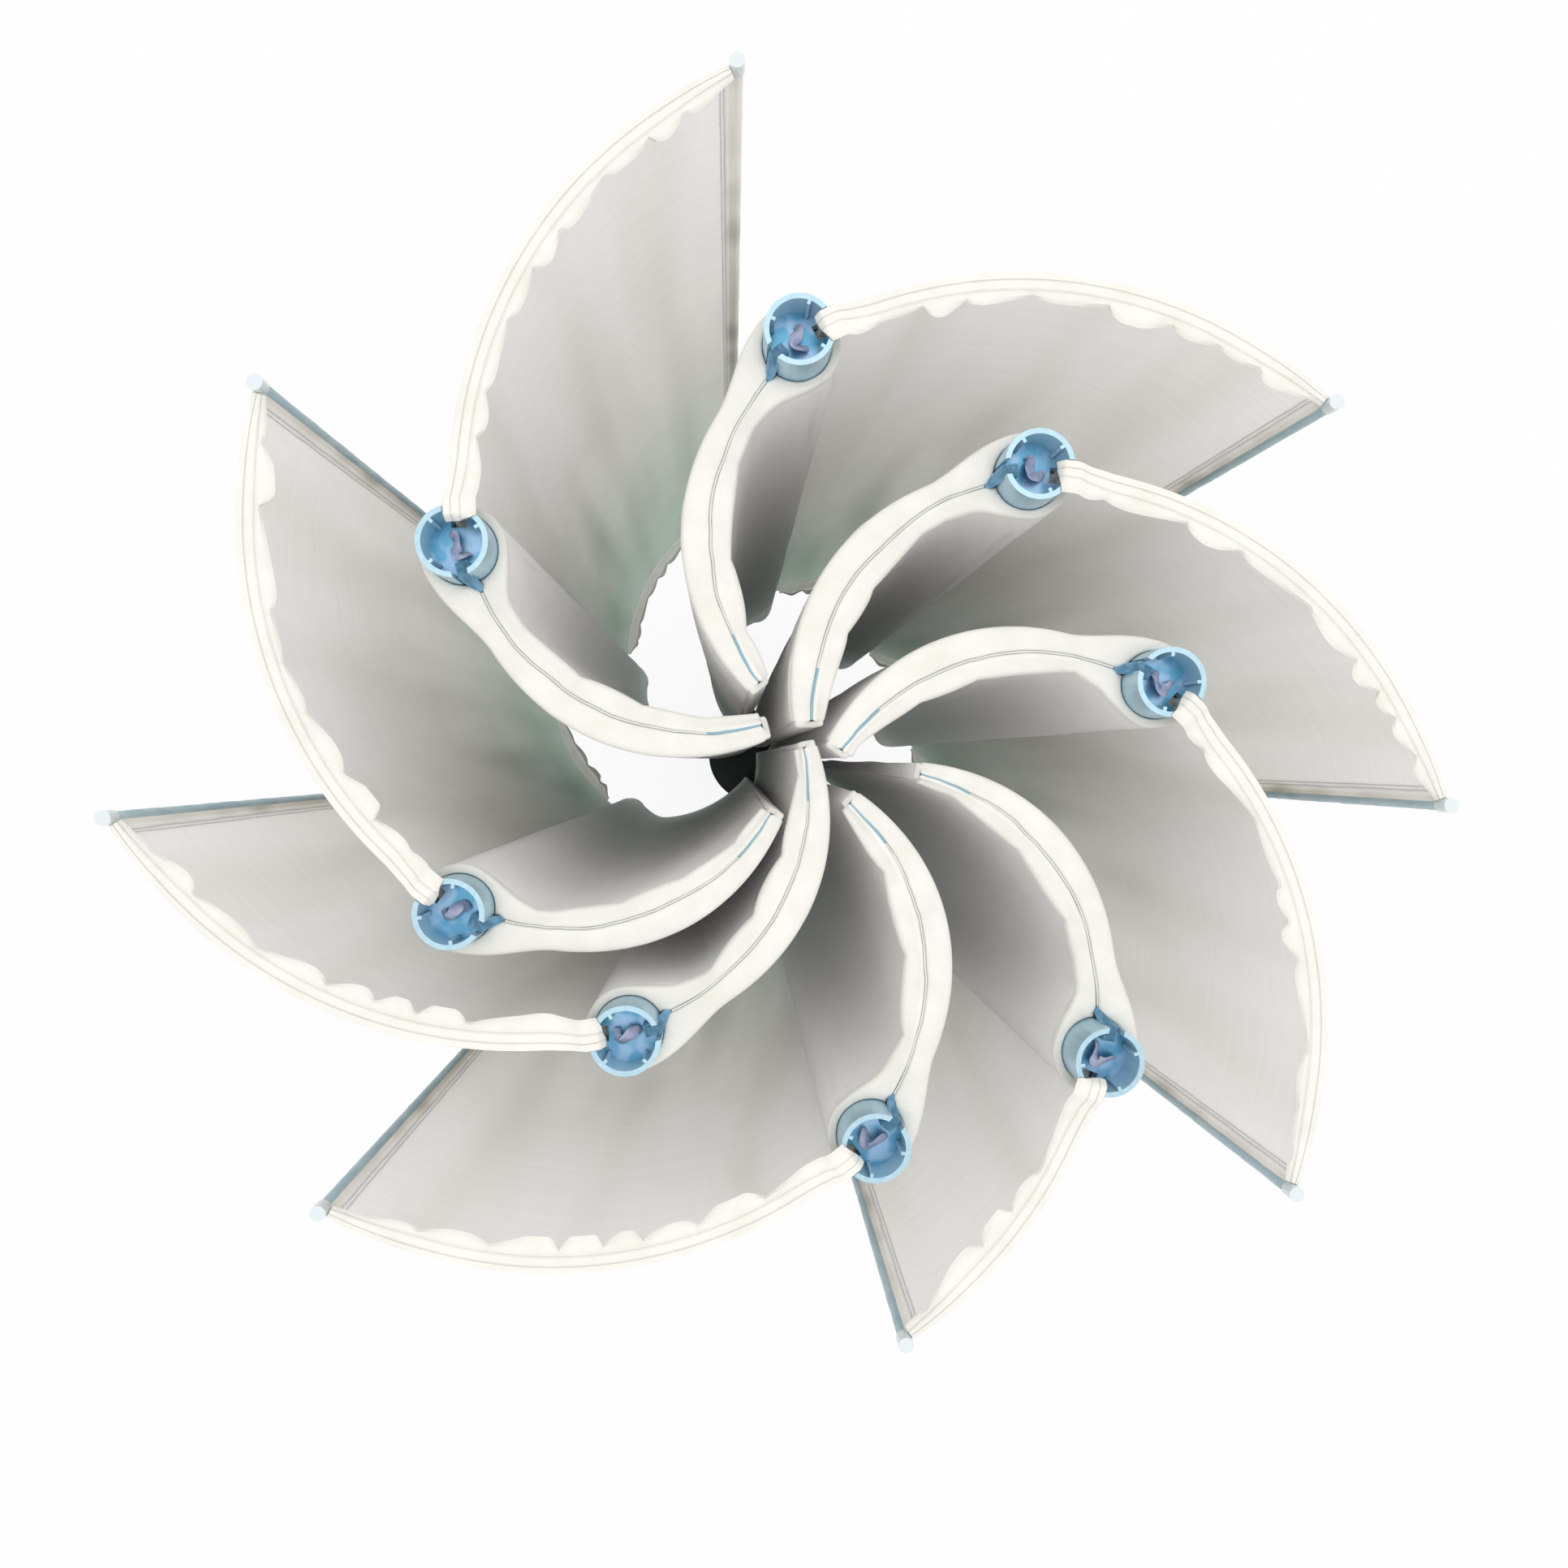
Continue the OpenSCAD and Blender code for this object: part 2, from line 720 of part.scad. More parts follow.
mast(0);  // mast_1
mast(1);  // mast_2
mast(2);  // mast_3
mast(3);  // mast_4
mast(4);  // mast_5
mast(5);  // mast_6
mast(6);  // mast_7
mast(7);  // mast_8
arm(0);  // arm_1
arm(1);  // arm_2
arm(2);  // arm_3
arm(3);  // arm_4
arm(4);  // arm_5
arm(5);  // arm_6
arm(6);  // arm_7
arm(7);  // arm_8
inner_sail(0);  // inner_sail_1
inner_sail(1);  // inner_sail_2
inner_sail(2);  // inner_sail_3
inner_sail(3);  // inner_sail_4
inner_sail(4);  // inner_sail_5
inner_sail(5);  // inner_sail_6
inner_sail(6);  // inner_sail_7
inner_sail(7);  // inner_sail_8
outer_sail(0);  // outer_sail_1
outer_sail(1);  // outer_sail_2
outer_sail(2);  // outer_sail_3
outer_sail(3);  // outer_sail_4
outer_sail(4);  // outer_sail_5
outer_sail(5);  // outer_sail_6
outer_sail(6);  // outer_sail_7
outer_sail(7);  // outer_sail_8
tip_rod(0);  // tip_rod_1
tip_rod(1);  // tip_rod_2
tip_rod(2);  // tip_rod_3
tip_rod(3);  // tip_rod_4
tip_rod(4);  // tip_rod_5
tip_rod(5);  // tip_rod_6
tip_rod(6);  // tip_rod_7
tip_rod(7);  // tip_rod_8
inner_webs();
mast_plugs();
mast_bolts();
arm_bolts();
hub_screws();
hub_plate();
rotor_shaft();
magnet_drum();
rotor_magnets();
bearing_inner_rings();
bearing_balls();
base_flange();
generator_housing();
generator_cover();
stator_core();
stator_coils();
cable_gland();
shaft_seal();
bearing_outer_rings();
tie_screws();
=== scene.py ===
import math

import bmesh
import bpy
from mathutils import Matrix, Vector, noise


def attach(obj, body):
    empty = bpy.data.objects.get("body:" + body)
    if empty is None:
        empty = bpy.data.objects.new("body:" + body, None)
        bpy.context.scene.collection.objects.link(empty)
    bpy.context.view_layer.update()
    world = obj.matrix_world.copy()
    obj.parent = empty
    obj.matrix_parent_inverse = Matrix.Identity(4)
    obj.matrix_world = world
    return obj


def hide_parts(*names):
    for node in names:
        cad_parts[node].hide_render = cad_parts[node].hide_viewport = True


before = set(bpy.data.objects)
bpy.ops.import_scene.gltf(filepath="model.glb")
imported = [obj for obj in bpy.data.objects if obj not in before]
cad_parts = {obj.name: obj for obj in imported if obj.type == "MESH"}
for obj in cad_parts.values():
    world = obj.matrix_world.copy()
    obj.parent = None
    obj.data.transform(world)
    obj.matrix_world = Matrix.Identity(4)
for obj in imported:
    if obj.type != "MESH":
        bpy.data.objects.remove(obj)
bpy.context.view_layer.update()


# ---- Masts ----
# Extruded aluminium tubes with two slots and three ribs inside, anodised pale blue and cut square.
# They stand in the sleeves of the inner sails, on the plugs that are bonded in their feet.

MM = 0.001  # sizes are given in millimetres, as in the solids, and meshes are in metres
BLADES = range(8)
SOFT_EDGE = 32  # degrees between two faces, up to which a turned or extruded surface is shaded as one


def linear(code):
    """An sRGB hex code as a linear colour."""
    parts = [int(code[k:k + 2], 16) / 255 for k in (0, 2, 4)]
    return [c / 12.92 if c <= 0.04045 else ((c + 0.055) / 1.055) ** 2.4 for c in parts] + [1.0]


def wire(node, inputs=(), **sockets):
    """Sets a node's sockets to values or links, in order by inputs or by name, with _ for a space."""
    named = [(node.inputs[key.replace("_", " ")], value) for key, value in sockets.items()]
    for socket, value in list(zip(node.inputs, inputs)) + named:
        if isinstance(value, bpy.types.NodeSocket):
            node.id_data.links.new(value, socket)
        else:
            socket.default_value = value


def add(tree, kind, settings=None, stops=(), **sockets):
    """Adds a shader node with its settings and links, and gives a colour ramp its (place, hex code) stops."""
    node = tree.nodes.new("ShaderNode" + kind)
    for key, value in (settings or {}).items():
        setattr(node, key, value)
    wire(node, **sockets)
    if stops:
        for element, (at, code) in zip(node.color_ramp.elements, (stops[0], stops[-1])):
            element.position = at
            element.color = linear(code)
        for at, code in stops[1:-1]:
            node.color_ramp.elements.new(at).color = linear(code)
    return node


def material(name, code, **constants):
    """A new material, with its constant values on the shader's own sockets: (material, tree, shader)."""
    made = bpy.data.materials.new(name)
    made.use_nodes = True
    shader = made.node_tree.nodes["Principled BSDF"]
    wire(shader, Base_Color=linear(code), **constants)
    return made, made.node_tree, shader


def grains(size_mm):
    """The scale of a noise whose grains are about size_mm across."""
    return 1000 / size_mm


def paint(node, made):
    """A solid that keeps its shape takes its material, and is shaded smooth up to SOFT_EDGE."""
    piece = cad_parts[node]
    piece.data.materials.clear()
    piece.data.materials.append(made)
    piece.data.shade_smooth()
    piece.data.set_sharp_from_angle(angle=math.radians(SOFT_EDGE))


# Anodised extruded aluminium: a satin metal that shows its pale blue before its gloss, with the faint
# lighter and duller streaks that the die drew along the tube, about 4 mm apart.
anodised, tree, shader = material("anodised_extruded_aluminium", "9DBFD0", Roughness=0.34, Metallic=0.35)
where = add(tree, "TexCoord").outputs["Object"]
drawn = add(tree, "Mapping", Vector=where, Scale=(1, 1, 0.01)).outputs["Vector"]
streaks = add(tree, "TexNoise", Vector=drawn, Scale=grains(4), Detail=3).outputs["Fac"]
colour = add(tree, "ValToRGB", stops=[(0.3, "A6C7D7"), (0.7, "B6D3DF")], Fac=streaks)
satin = add(tree, "MapRange", Value=streaks, To_Min=0.26, To_Max=0.42)
die_lines = add(tree, "Bump", Height=streaks, Distance=0.05 * MM)
wire(shader, Base_Color=colour.outputs["Color"], Roughness=satin.outputs["Result"],
     Normal=die_lines.outputs["Normal"])
for i in BLADES:
    paint(f"mast_{i + 1}", anodised)


# ---- Mast plugs, head stops and mast bolts ----
# Turned aluminium plugs in the masts' feet and stops in their heads, anodised a deeper blue and pressed in.
# Zinc plated steel bolts draw the foot plugs onto the arms.

# Blue anodised turned aluminium: a stronger blue with a metal's gloss, clouded in patches by handling.
deep_blue, tree, shader = material("blue_anodised_turned_aluminium", "689FC0", Roughness=0.36, Metallic=0.7)
where = add(tree, "TexCoord").outputs["Object"]
patches = add(tree, "TexNoise", Vector=where, Scale=grains(14), Detail=1).outputs["Fac"]
colour = add(tree, "ValToRGB", stops=[(0.42, "5F9CBD"), (0.58, "94B6D4")], Fac=patches)
handled = add(tree, "MapRange", Value=patches, To_Min=0.3, To_Max=0.44)
wire(shader, Base_Color=colour.outputs["Color"], Roughness=handled.outputs["Result"])
paint("mast_plugs", deep_blue)

# Zinc plated steel: bright grey metal with a fine crystal spangle.
zinc, tree, shader = material("zinc_plated_steel", "AEB3B6", Roughness=0.3, Metallic=1.0)
where = add(tree, "TexCoord").outputs["Object"]
spangle = add(tree, "TexNoise", Vector=where, Scale=grains(1.2), Detail=4).outputs["Fac"]
colour = add(tree, "ValToRGB", stops=[(0.3, "9FA5A9"), (0.7, "BEC2C4")], Fac=spangle)
crystals = add(tree, "MapRange", Value=spangle, To_Min=0.22, To_Max=0.4)
wire(shader, Base_Color=colour.outputs["Color"], Roughness=crystals.outputs["Result"])
paint("mast_bolts", zinc)


# ---- Inner sails ----
# Padded woven cloth, one to each mast: a sleeve wraps the tube, and two pads with a web between them bow in
# to the hub. Cream tape closes their heads, and is sewn down with a wavy edge on the hollow side.

BOW_R = 176
MAST_OUT = [BOW_R * reach for reach in (1.591, 1.665, 1.5, 1.534, 1.79, 1.631, 1.347, 1.528)]
MAST_TURN = [149, 90, 50, 10.5, -45, -79, -121, -155]
BLADE_YAW = [0, -6, 0, 3, -12, -7, 0, -6]
INNER_ARC = [92, 90, 88, 87, 90, 90, 89, 86]
ROOT_W = [16, 15, 20, 18, 11, 13, 12, 12]
SLOT_IN = -45  # degrees from the line to the hub, as all angles round a mast
SLOT_OUT = 124
MAST_FOOT = 188
HEAD = 1568
NECK_LEN = 70
NECK_W = 26
BELLY_W = 14
SLEEVE_IN = 25.35
SLEEVE_OUT = 31.5
SLOT_WINDOW = 14.5  # half of what the sleeve leaves open at the outer slot, in degrees
WALL_FROM = 32  # how far along the bow the pads' middle line leaves the sleeve
SLIT = 1.6
WEB_OFF = 2.5
END_WALL = 4
ROOT_ROUND = 5
PAD_ROUND = 6.5
TAPE_DROP = 8
TAPE_SLACK = 8
TAPE_LAP = 0.4
LAP_SLACK = 5
TAPE_T = 1.4
CROWN = 16
PIPING_SINK = 1.3
SHADE_FROM = 1550  # height from which painted shade darkens the cloth, and height at which it is fully shaded
SHADE_FULL_AT = 500
SHADOW_PATCHES = 0.24
FOLD_EDGE = 50  # degrees between two faces, up to which cloth is shaded as one


def turn_z(degrees):
    return Matrix.Rotation(math.radians(degrees), 4, "Z")


def blade_frame(i):
    """Blade i's own frame, in mm: origin in its mast's axis, +X to the hub."""
    return turn_z(MAST_TURN[i]) @ Matrix.Translation((MAST_OUT[i], 0, 0)) @ turn_z(180 + BLADE_YAW[i])


def smooth(t):
    """A soft step from 0 at t = 0 to 1 at t = 1."""
    t = min(1.0, max(0.0, t))
    return t * t * (3 - 2 * t)


def mix(a, b, t):
    return a + (b - a) * t


def steps(a, b, n):
    """n + 1 numbers from a to b."""
    return [a + (b - a) * k / n for k in range(n + 1)]


def wander(seed, *at):
    """Smooth noise from -1 to 1. Each form has a seed of its own, so that no two stray alike."""
    here = list(at) + [0] * (3 - len(at))
    return noise.noise(Vector((here[0] + 17.3 * seed, here[1] - 5.1 * seed, here[2] + 2.7 * seed)))


def skin(name, at, rings, along, around, made, bands=None, loop=True, caps=True):
    """A mesh through rings of points, in mm in the frame at. along and around are the lengths for its UV map,
    in mm. bands gives the material of each face, from its place along and around."""
    n = len(rings[0])
    count = n if loop else n - 1
    points = [(at @ Vector(p)) * MM for ring in rings for p in ring]
    faces, marks, uvs = [], [], []
    for j in range(len(rings) - 1):
        for k in range(count):
            m = (k + 1) % n
            faces.append((j * n + k, j * n + m, (j + 1) * n + m, (j + 1) * n + k))
            marks.append(bands(j, k) if bands else 0)
            v0, v1 = around[k], around[k + 1] if k + 1 < len(around) else around[k]
            uvs += [(along[j], v0), (along[j], v1), (along[j + 1], v1), (along[j + 1], v0)]
    if caps:
        for j in (0, len(rings) - 1):
            faces.append([j * n + k for k in range(n)])
            marks.append(0)
            uvs += [(along[j], around[k]) for k in range(n)]
    mesh = bpy.data.meshes.new(name)
    mesh.from_pydata(points, [], faces)
    mesh.polygons.foreach_set("material_index", marks)
    layer = mesh.uv_layers.new(name="cloth")
    layer.data.foreach_set("uv", [c * MM for uv in uvs for c in uv])
    for m in made:
        mesh.materials.append(m)
    work = bmesh.new()
    work.from_mesh(mesh)
    bmesh.ops.recalc_face_normals(work, faces=work.faces)
    work.to_mesh(mesh)
    work.free()
    mesh.shade_smooth()
    mesh.set_sharp_from_angle(angle=math.radians(FOLD_EDGE))
    piece = bpy.data.objects.new(name, mesh)
    bpy.context.scene.collection.objects.link(piece)
    return piece


def threads(pitch_mm):
    """The scale of a wave whose lines lie pitch_mm apart."""
    return 1000 * math.tau / (20 * pitch_mm)


def woven(tree, pitch_mm):
    """The height of warp and weft threads that cross along the cloth's own UV map."""
    cloth = add(tree, "TexCoord").outputs["UV"]
    warp = add(tree, "TexWave", {"bands_direction": "X"}, Vector=cloth, Scale=threads(pitch_mm))
    weft = add(tree, "TexWave", {"bands_direction": "Y"}, Vector=cloth, Scale=threads(pitch_mm))
    both = add(tree, "Math", {"operation": "ADD"}, inputs=(warp.outputs["Fac"], weft.outputs["Fac"]))
    return both.outputs["Value"]


def painted_depth_shade(tree, code_head, code_middle, code_foot, shadow_patch_mm):
    """Painted shade: cloth colour that darkens and greens towards the foot, where the shade deepens between
    the sails, with soft noise patches of painted shadow.
    """
    where = add(tree, "TexCoord").outputs["Object"]
    tall = add(tree, "Mapping", Vector=where, Scale=(1, 1, 0.35)).outputs["Vector"]
    height = add(tree, "SeparateXYZ", Vector=where).outputs["Z"]
    # painted shade: the colour darkens with less height, towards the foot
    low = add(tree, "MapRange", Value=height, From_Min=SHADE_FROM * MM, From_Max=SHADE_FULL_AT * MM)
    # painted shadow: soft noise patches move the painted shade up and down, as shadow bands from the
    # neighbouring sails
    patches = add(tree, "TexNoise", Vector=tall, Scale=grains(shadow_patch_mm), Detail=3).outputs["Fac"]
    spots = add(tree, "MapRange", Value=patches, To_Min=-SHADOW_PATCHES, To_Max=SHADOW_PATCHES)
    both = add(tree, "Math", {"operation": "ADD", "use_clamp": True},
               inputs=(low.outputs["Result"], spots.outputs["Result"]))
    ramp = add(tree, "ValToRGB", stops=[(0.1, code_head), (0.36, code_middle), (1, code_foot)],
               Fac=both.outputs["Value"])
    return ramp.outputs["Color"]


# Woven cotton tape: matt warm white with a slight bloom, and a crossed weave of 0.9 mm.
tape, tree, shader = material("woven_cotton_tape", "F4F2EA", Roughness=0.86, Sheen_Weight=0.15)
where = add(tree, "TexCoord").outputs["Object"]
clouds = add(tree, "TexNoise", Vector=where, Scale=grains(28), Detail=3).outputs["Fac"]
colour = add(tree, "ValToRGB", stops=[(0.3, "EFEDE4"), (0.7, "F8F6EF")], Fac=clouds)
weave = add(tree, "Bump", Height=woven(tree, 0.9), Distance=0.12 * MM)
wire(shader, Base_Color=colour.outputs["Color"], Normal=weave.outputs["Normal"])

# Padded woven cloth: soft white that scatters the light at its edges, with painted shade that greys it and
# turns it faintly green low down.
# Its 0.6 mm threads are drawn 1.2 mm apart, because they would be too fine to show.
padding, tree, shader = material("padded_woven_cloth", "ECEBE7", Roughness=0.88, Sheen_Weight=1.0)
weave = add(tree, "Bump", Height=woven(tree, 1.2), Distance=0.15 * MM)
# painted shade: greyer and faintly green towards the foot
wire(shader, Base_Color=painted_depth_shade(tree, "F6F5F2", "F0EFEC", "DFE8E2", 60), Normal=weave.outputs["Normal"])


def bow_point(s, off):
    """Point at distance s along the inner bow, off to its hollow side."""
    a = math.radians(SLOT_IN - 90) + s / BOW_R
    centre = (-BOW_R * math.sin(math.radians(SLOT_IN)), BOW_R * math.cos(math.radians(SLOT_IN)))
    return Vector((centre[0] + (BOW_R - off) * math.cos(a), centre[1] + (BOW_R - off) * math.sin(a)))


def pad_half(i, s, length):
    """Half the thickness of inner sail i at s: wide at the sleeve, narrow at the neck, full in the belly."""
    t = (s - NECK_LEN) / (length - NECK_LEN)
    if s < NECK_LEN:
        return NECK_W / 2 + (SLEEVE_OUT - 0.4 - NECK_W / 2) * (1 + math.cos(math.pi * s / NECK_LEN)) / 2
    return NECK_W / 2 * (1 - t) + ROOT_W[i] / 2 * t + BELLY_W / 2 * math.sin(math.pi * t)


def around_mast(degrees, radius):
    a = math.radians(degrees)
    return Vector((radius * math.cos(a), radius * math.sin(a)))


def inner_stations(i):
    """Where inner sail i's wall stands, once around: (outer point, inner point, side, s).
    side is 1 on the hollow side, -1 on the full one, 0 on the sleeve and 2 round the root."""
    length = math.radians(INNER_ARC[i]) * BOW_R
    found = []

    def side_of(s, side):
        half = pad_half(i, s, length) * (1.06 if side < 0 else 0.94)
        half = mix(pad_half(i, s, length), half, smooth(s / 60))
        outer = bow_point(s, side * half)
        if s < WALL_FROM:
            turn = mix(side * 90, 5.7 + side * 3.7, smooth(s / WALL_FROM) ** 0.8)
            inner = around_mast(SLOT_IN + turn, SLEEVE_IN)
        else:
            reach = mix(SLEEVE_IN, length, (s - WALL_FROM) / (length - WALL_FROM))
            inner = bow_point(min(reach, length - END_WALL), WEB_OFF + side * SLIT)
        found.append((outer, inner, side, s))

    for a in steps(SLOT_OUT + SLOT_WINDOW, SLOT_IN + 268, 14):
        found.append((around_mast(a, SLEEVE_OUT), around_mast(a, SLEEVE_IN), 0, 0))
    for s in steps(2, length - ROOT_ROUND, 84):
        side_of(s, -1)
    corner = bow_point(length - END_WALL, WEB_OFF)
    for a in steps(-80, 80, 12):
        x, y = math.cos(math.radians(a)), math.sin(math.radians(a))
        reach = (abs(x) ** 8 + abs(y) ** 8) ** (-1 / 8)
        off = y * reach * ROOT_W[i] / 2
        inner = mix(corner, bow_point(length - END_WALL, off), 0.2)
        found.append((bow_point(length - ROOT_ROUND + x * reach * ROOT_ROUND, off), inner, 2, length))
    for s in steps(length - ROOT_ROUND, 2, 84):
        side_of(s, 1)
    for a in steps(SLOT_IN + 92, SLOT_OUT - SLOT_WINDOW, 11):
        found.append((around_mast(a, SLEEVE_OUT), around_mast(a, SLEEVE_IN), 0, 0))
    return found


def slit_shift(i, s):
    """How far the slit between the pads strays from the web's line to the hollow side."""
    return (1.7 * wander(i + 82, s / 34) + 0.5 * wander(i + 84, s / 11)) * smooth((s - 40) / 30)


def slack(i, side, s):
    """How loosely the tape lies on the hollow side, from 0 to 1."""
    if side != 1:
        return 0
    place_in = s / 62 + 0.5 * wander(i + 40, s / 90) + 0.3 * i
    lobe = math.sin(math.pi * (place_in % 1) ** 0.8) ** 0.7
    size = 0.62 + 0.8 * wander(i + 41, math.floor(place_in) * 0.7)
    return min(1, max(0, lobe * size)) * smooth((s - 34) / 30)


def crease(i, side, s):
    """Depth of the soft crease along the middle of the hollow side's tape."""
    return max(0, 0.8 + 1.6 * wander(i + 33, s / 60)) * smooth((s - 45) / 30) if side == 1 else 0


def pad_section(i, side, s, wide):
    """One section through a pad as (x, z): from the slit over the head, down its face and under its foot."""
    round_by = min(wide / 2, PAD_ROUND)
    loose = slack(i, side, s)
    edge = TAPE_DROP + TAPE_SLACK * loose
    lap = TAPE_LAP + LAP_SLACK * loose
    section = [(0, z) for z in steps(MAST_FOOT + 6, HEAD - 12, 6)]
    for t in steps(0, 1, CROWN):
        a = math.pi * t
        x = wide / 2 * (1 - math.copysign(abs(math.cos(a)) ** 0.6, math.cos(a))) + lap * t ** 2
        if t < 0.3 and side in (1, -1) and s > WALL_FROM + 4:
            x -= PIPING_SINK - side * slit_shift(i, s) * smooth(t / 0.06)
        z = HEAD - round_by + round_by * math.sin(a) ** 0.6 + 0.5 * wander(i, s / 16, side)
        section.append((x, z - crease(i, side, s) * math.exp(-((t - 0.48) / 0.09) ** 2)))
    section.append((wide + lap, HEAD - edge + TAPE_T))
    section.append((wide + lap * 0.85, HEAD - edge))
    section.append((wide, HEAD - edge - 0.4))
    for drop in [4, 10, 18, 28, 40, 55, 75, 100] + [130 + 32 * k for k in range(38)]:
        z = HEAD - edge - drop
        if z < MAST_FOOT + 16:
            break
        soft = 2.4 * wander(i, s / 60 + z / 150, z / 420, side)
        soft += 0.9 * wander(i + 9, s / 17, z / 90) * math.exp(-drop / 70)
        section.append((wide + soft * (1 if side in (1, -1) else 0.35), z))
    section.append((wide, MAST_FOOT + 14))
    section.append((wide + 0.6, MAST_FOOT + 13.4))
    for t in steps(0, math.pi, 6):
        x = wide / 2 * (1 + math.copysign(abs(math.cos(t)) ** 0.7, math.cos(t)))
        section.append((x, MAST_FOOT + round_by - round_by * math.sin(t) ** 0.7))
    return section


for i in BLADES:
    stations = inner_stations(i)
    rings, along, run = [], [], 0
    for at, (outer, inner, side, s) in enumerate(stations):
        out = (outer - inner).normalized()
        section = pad_section(i, side, s, (outer - inner).length)
        rings.append([(*(inner + out * x), z) for x, z in section])
        run += (outer - stations[at - 1][0]).length if at else 0
        along.append(run)
    n = min(len(r) for r in rings)
    rings = [r[:n - 9] + r[-9:] for r in rings]
    lengths = [0]
    for a, b in zip(rings[20], rings[20][1:] + rings[20][:1]):
        lengths.append(lengths[-1] + (Vector(b) - Vector(a)).length)
    pad = skin(f"padded_sail_{i + 1}", blade_frame(i), rings, along, lengths, [padding, tape],
               lambda j, k: 1 if 6 <= k < CROWN + 10 or k > n - 10 else 0)
    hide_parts(f"inner_sail_{i + 1}")
    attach(pad, "rotor")


# ---- Web piping ----
# A thin piping of twisted cotton along the head of each web, plain grey, and dyed blue at the hub end.
# It is sewn into the slit between the two pads and sits a little below their crowns.

PIPING_FROM = WALL_FROM + 2
PIPING_BLUE = 46  # length of the blue part
PIPING_Z = HEAD - 1.5
PIPING_H = 0.8  # half of its height, and the length of each of its eight sides
PIPING_R = (0.75, 1.0)  # half of its width, plain and blue

# Cotton piping: matt, with the fine ribs of its twisted yarn, about 1.2 mm apart.
pipings = []
COTTONS = [("undyed_cotton_piping", "E0E2DE", 0.75), ("dyed_blue_cotton_piping", "8DB4C8", 0.7)]
for name, code, roughness in COTTONS:
    cotton, tree, shader = material(name, code, Roughness=roughness)
    where = add(tree, "TexCoord").outputs["Object"]
    twist = add(tree, "TexWave", {"bands_direction": "X"}, Vector=where, Scale=threads(1.2)).outputs["Fac"]
    ribs = add(tree, "Bump", Height=twist, Distance=0.1 * MM)
    wire(shader, Normal=ribs.outputs["Normal"])
    pipings.append(cotton)

for i in BLADES:
    length = math.radians(INNER_ARC[i]) * BOW_R
    path = steps(PIPING_FROM, length - END_WALL - 1, 90)
    rings = []
    for s in path:
        thick = mix(*PIPING_R, smooth((s - length + 48) / 25)) + 0.15 * wander(i + 80, s / 15)
        wall_s = WALL_FROM + (s - SLEEVE_IN) * (length - WALL_FROM) / (length - SLEEVE_IN)
        side = WEB_OFF + slit_shift(i, wall_s)
        ring = []
        for k in range(8):
            a = math.tau * k / 8
            ring.append((*bow_point(s, side + thick * math.cos(a)), PIPING_Z + PIPING_H * math.sin(a)))
        rings.append(ring)
    blue_from = next(j for j, s in enumerate(path) if s > length - PIPING_BLUE)
    trim = skin(f"web_piping_{i + 1}", blade_frame(i), rings, path, [PIPING_H * k for k in range(9)], pipings,
                lambda j, k: 1 if j >= blue_from else 0)
    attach(trim, "rotor")


# ---- Webs ----
# Coated blue cloth between the two pads of each inner sail, cut to the bow of the sail.
# A beaded edge slides in the mast's inner slot and holds the sail on the mast.

# Coated polyester: a smooth mid blue with a low gloss, clouded where it has creased, over 0.8 mm threads.
web_cloth, tree, shader = material("coated_polyester_web", "7FA6C2", Roughness=0.55)
where = add(tree, "TexCoord").outputs["Object"]
upright = add(tree, "Mapping", Vector=where, Scale=(1, 1, 0.2)).outputs["Vector"]
rows = add(tree, "TexWave", {"bands_direction": "Z"}, Vector=where, Scale=threads(0.8)).outputs["Fac"]
creased = add(tree, "TexNoise", Vector=upright, Scale=grains(9), Detail=2).outputs["Fac"]
face = add(tree, "Math", {"operation": "ADD"}, inputs=(rows, creased)).outputs["Value"]
clouds = add(tree, "TexNoise", Vector=where, Scale=grains(30), Detail=3).outputs["Fac"]
colour = add(tree, "ValToRGB", stops=[(0.3, "7099B8"), (0.7, "8FB3CB")], Fac=clouds)
coated = add(tree, "Bump", Height=face, Distance=0.1 * MM)
wire(shader, Base_Color=colour.outputs["Color"], Normal=coated.outputs["Normal"])
paint("inner_webs", web_cloth)


# ---- Web ends ----
# At its head each web is folded over into a blunt tab of the same coated cloth, doubled and sewn.
# The tab fills the mast's inner slot and laps onto the sleeve.

STOP_TOP = 1574
TAB_LAP_FROM = 26  # from here on the tab lies on the pads, and before it on the head stop
TAB_EDGE = 0.8
TAB = [  # its outline round the slot, as distance along the bow, off to its hollow side, and height
    (13, -4.4, 1590), (24, -4.9, 1592), (27, -3.8, 1573), (30, -0.8, 1570), (33.5, 3, 1568.8),
    (30, 5.6, 1570), (25, 4.9, 1592), (13, 4.4, 1590),
]

# Folded coated polyester: painted shade makes it a deeper blue than the web, standing in for the shade in its
# folds.
folded, tree, shader = material("folded_blue_web_cloth", "6499B8", Roughness=0.5)
where = add(tree, "TexCoord").outputs["Object"]
# painted shade: the tab's colour is a deeper blue than the web's, mottled in soft noise patches
creased = add(tree, "TexNoise", Vector=where, Scale=grains(10), Detail=2).outputs["Fac"]
colour = add(tree, "ValToRGB", stops=[(0.42, "588DAD"), (0.58, "76A7C6")], Fac=creased)
rows = add(tree, "TexWave", {"bands_direction": "Z"}, Vector=where, Scale=threads(0.8)).outputs["Fac"]
face = add(tree, "Bump", Height=rows, Distance=0.1 * MM)
wire(shader, Base_Color=colour.outputs["Color"], Normal=face.outputs["Normal"])

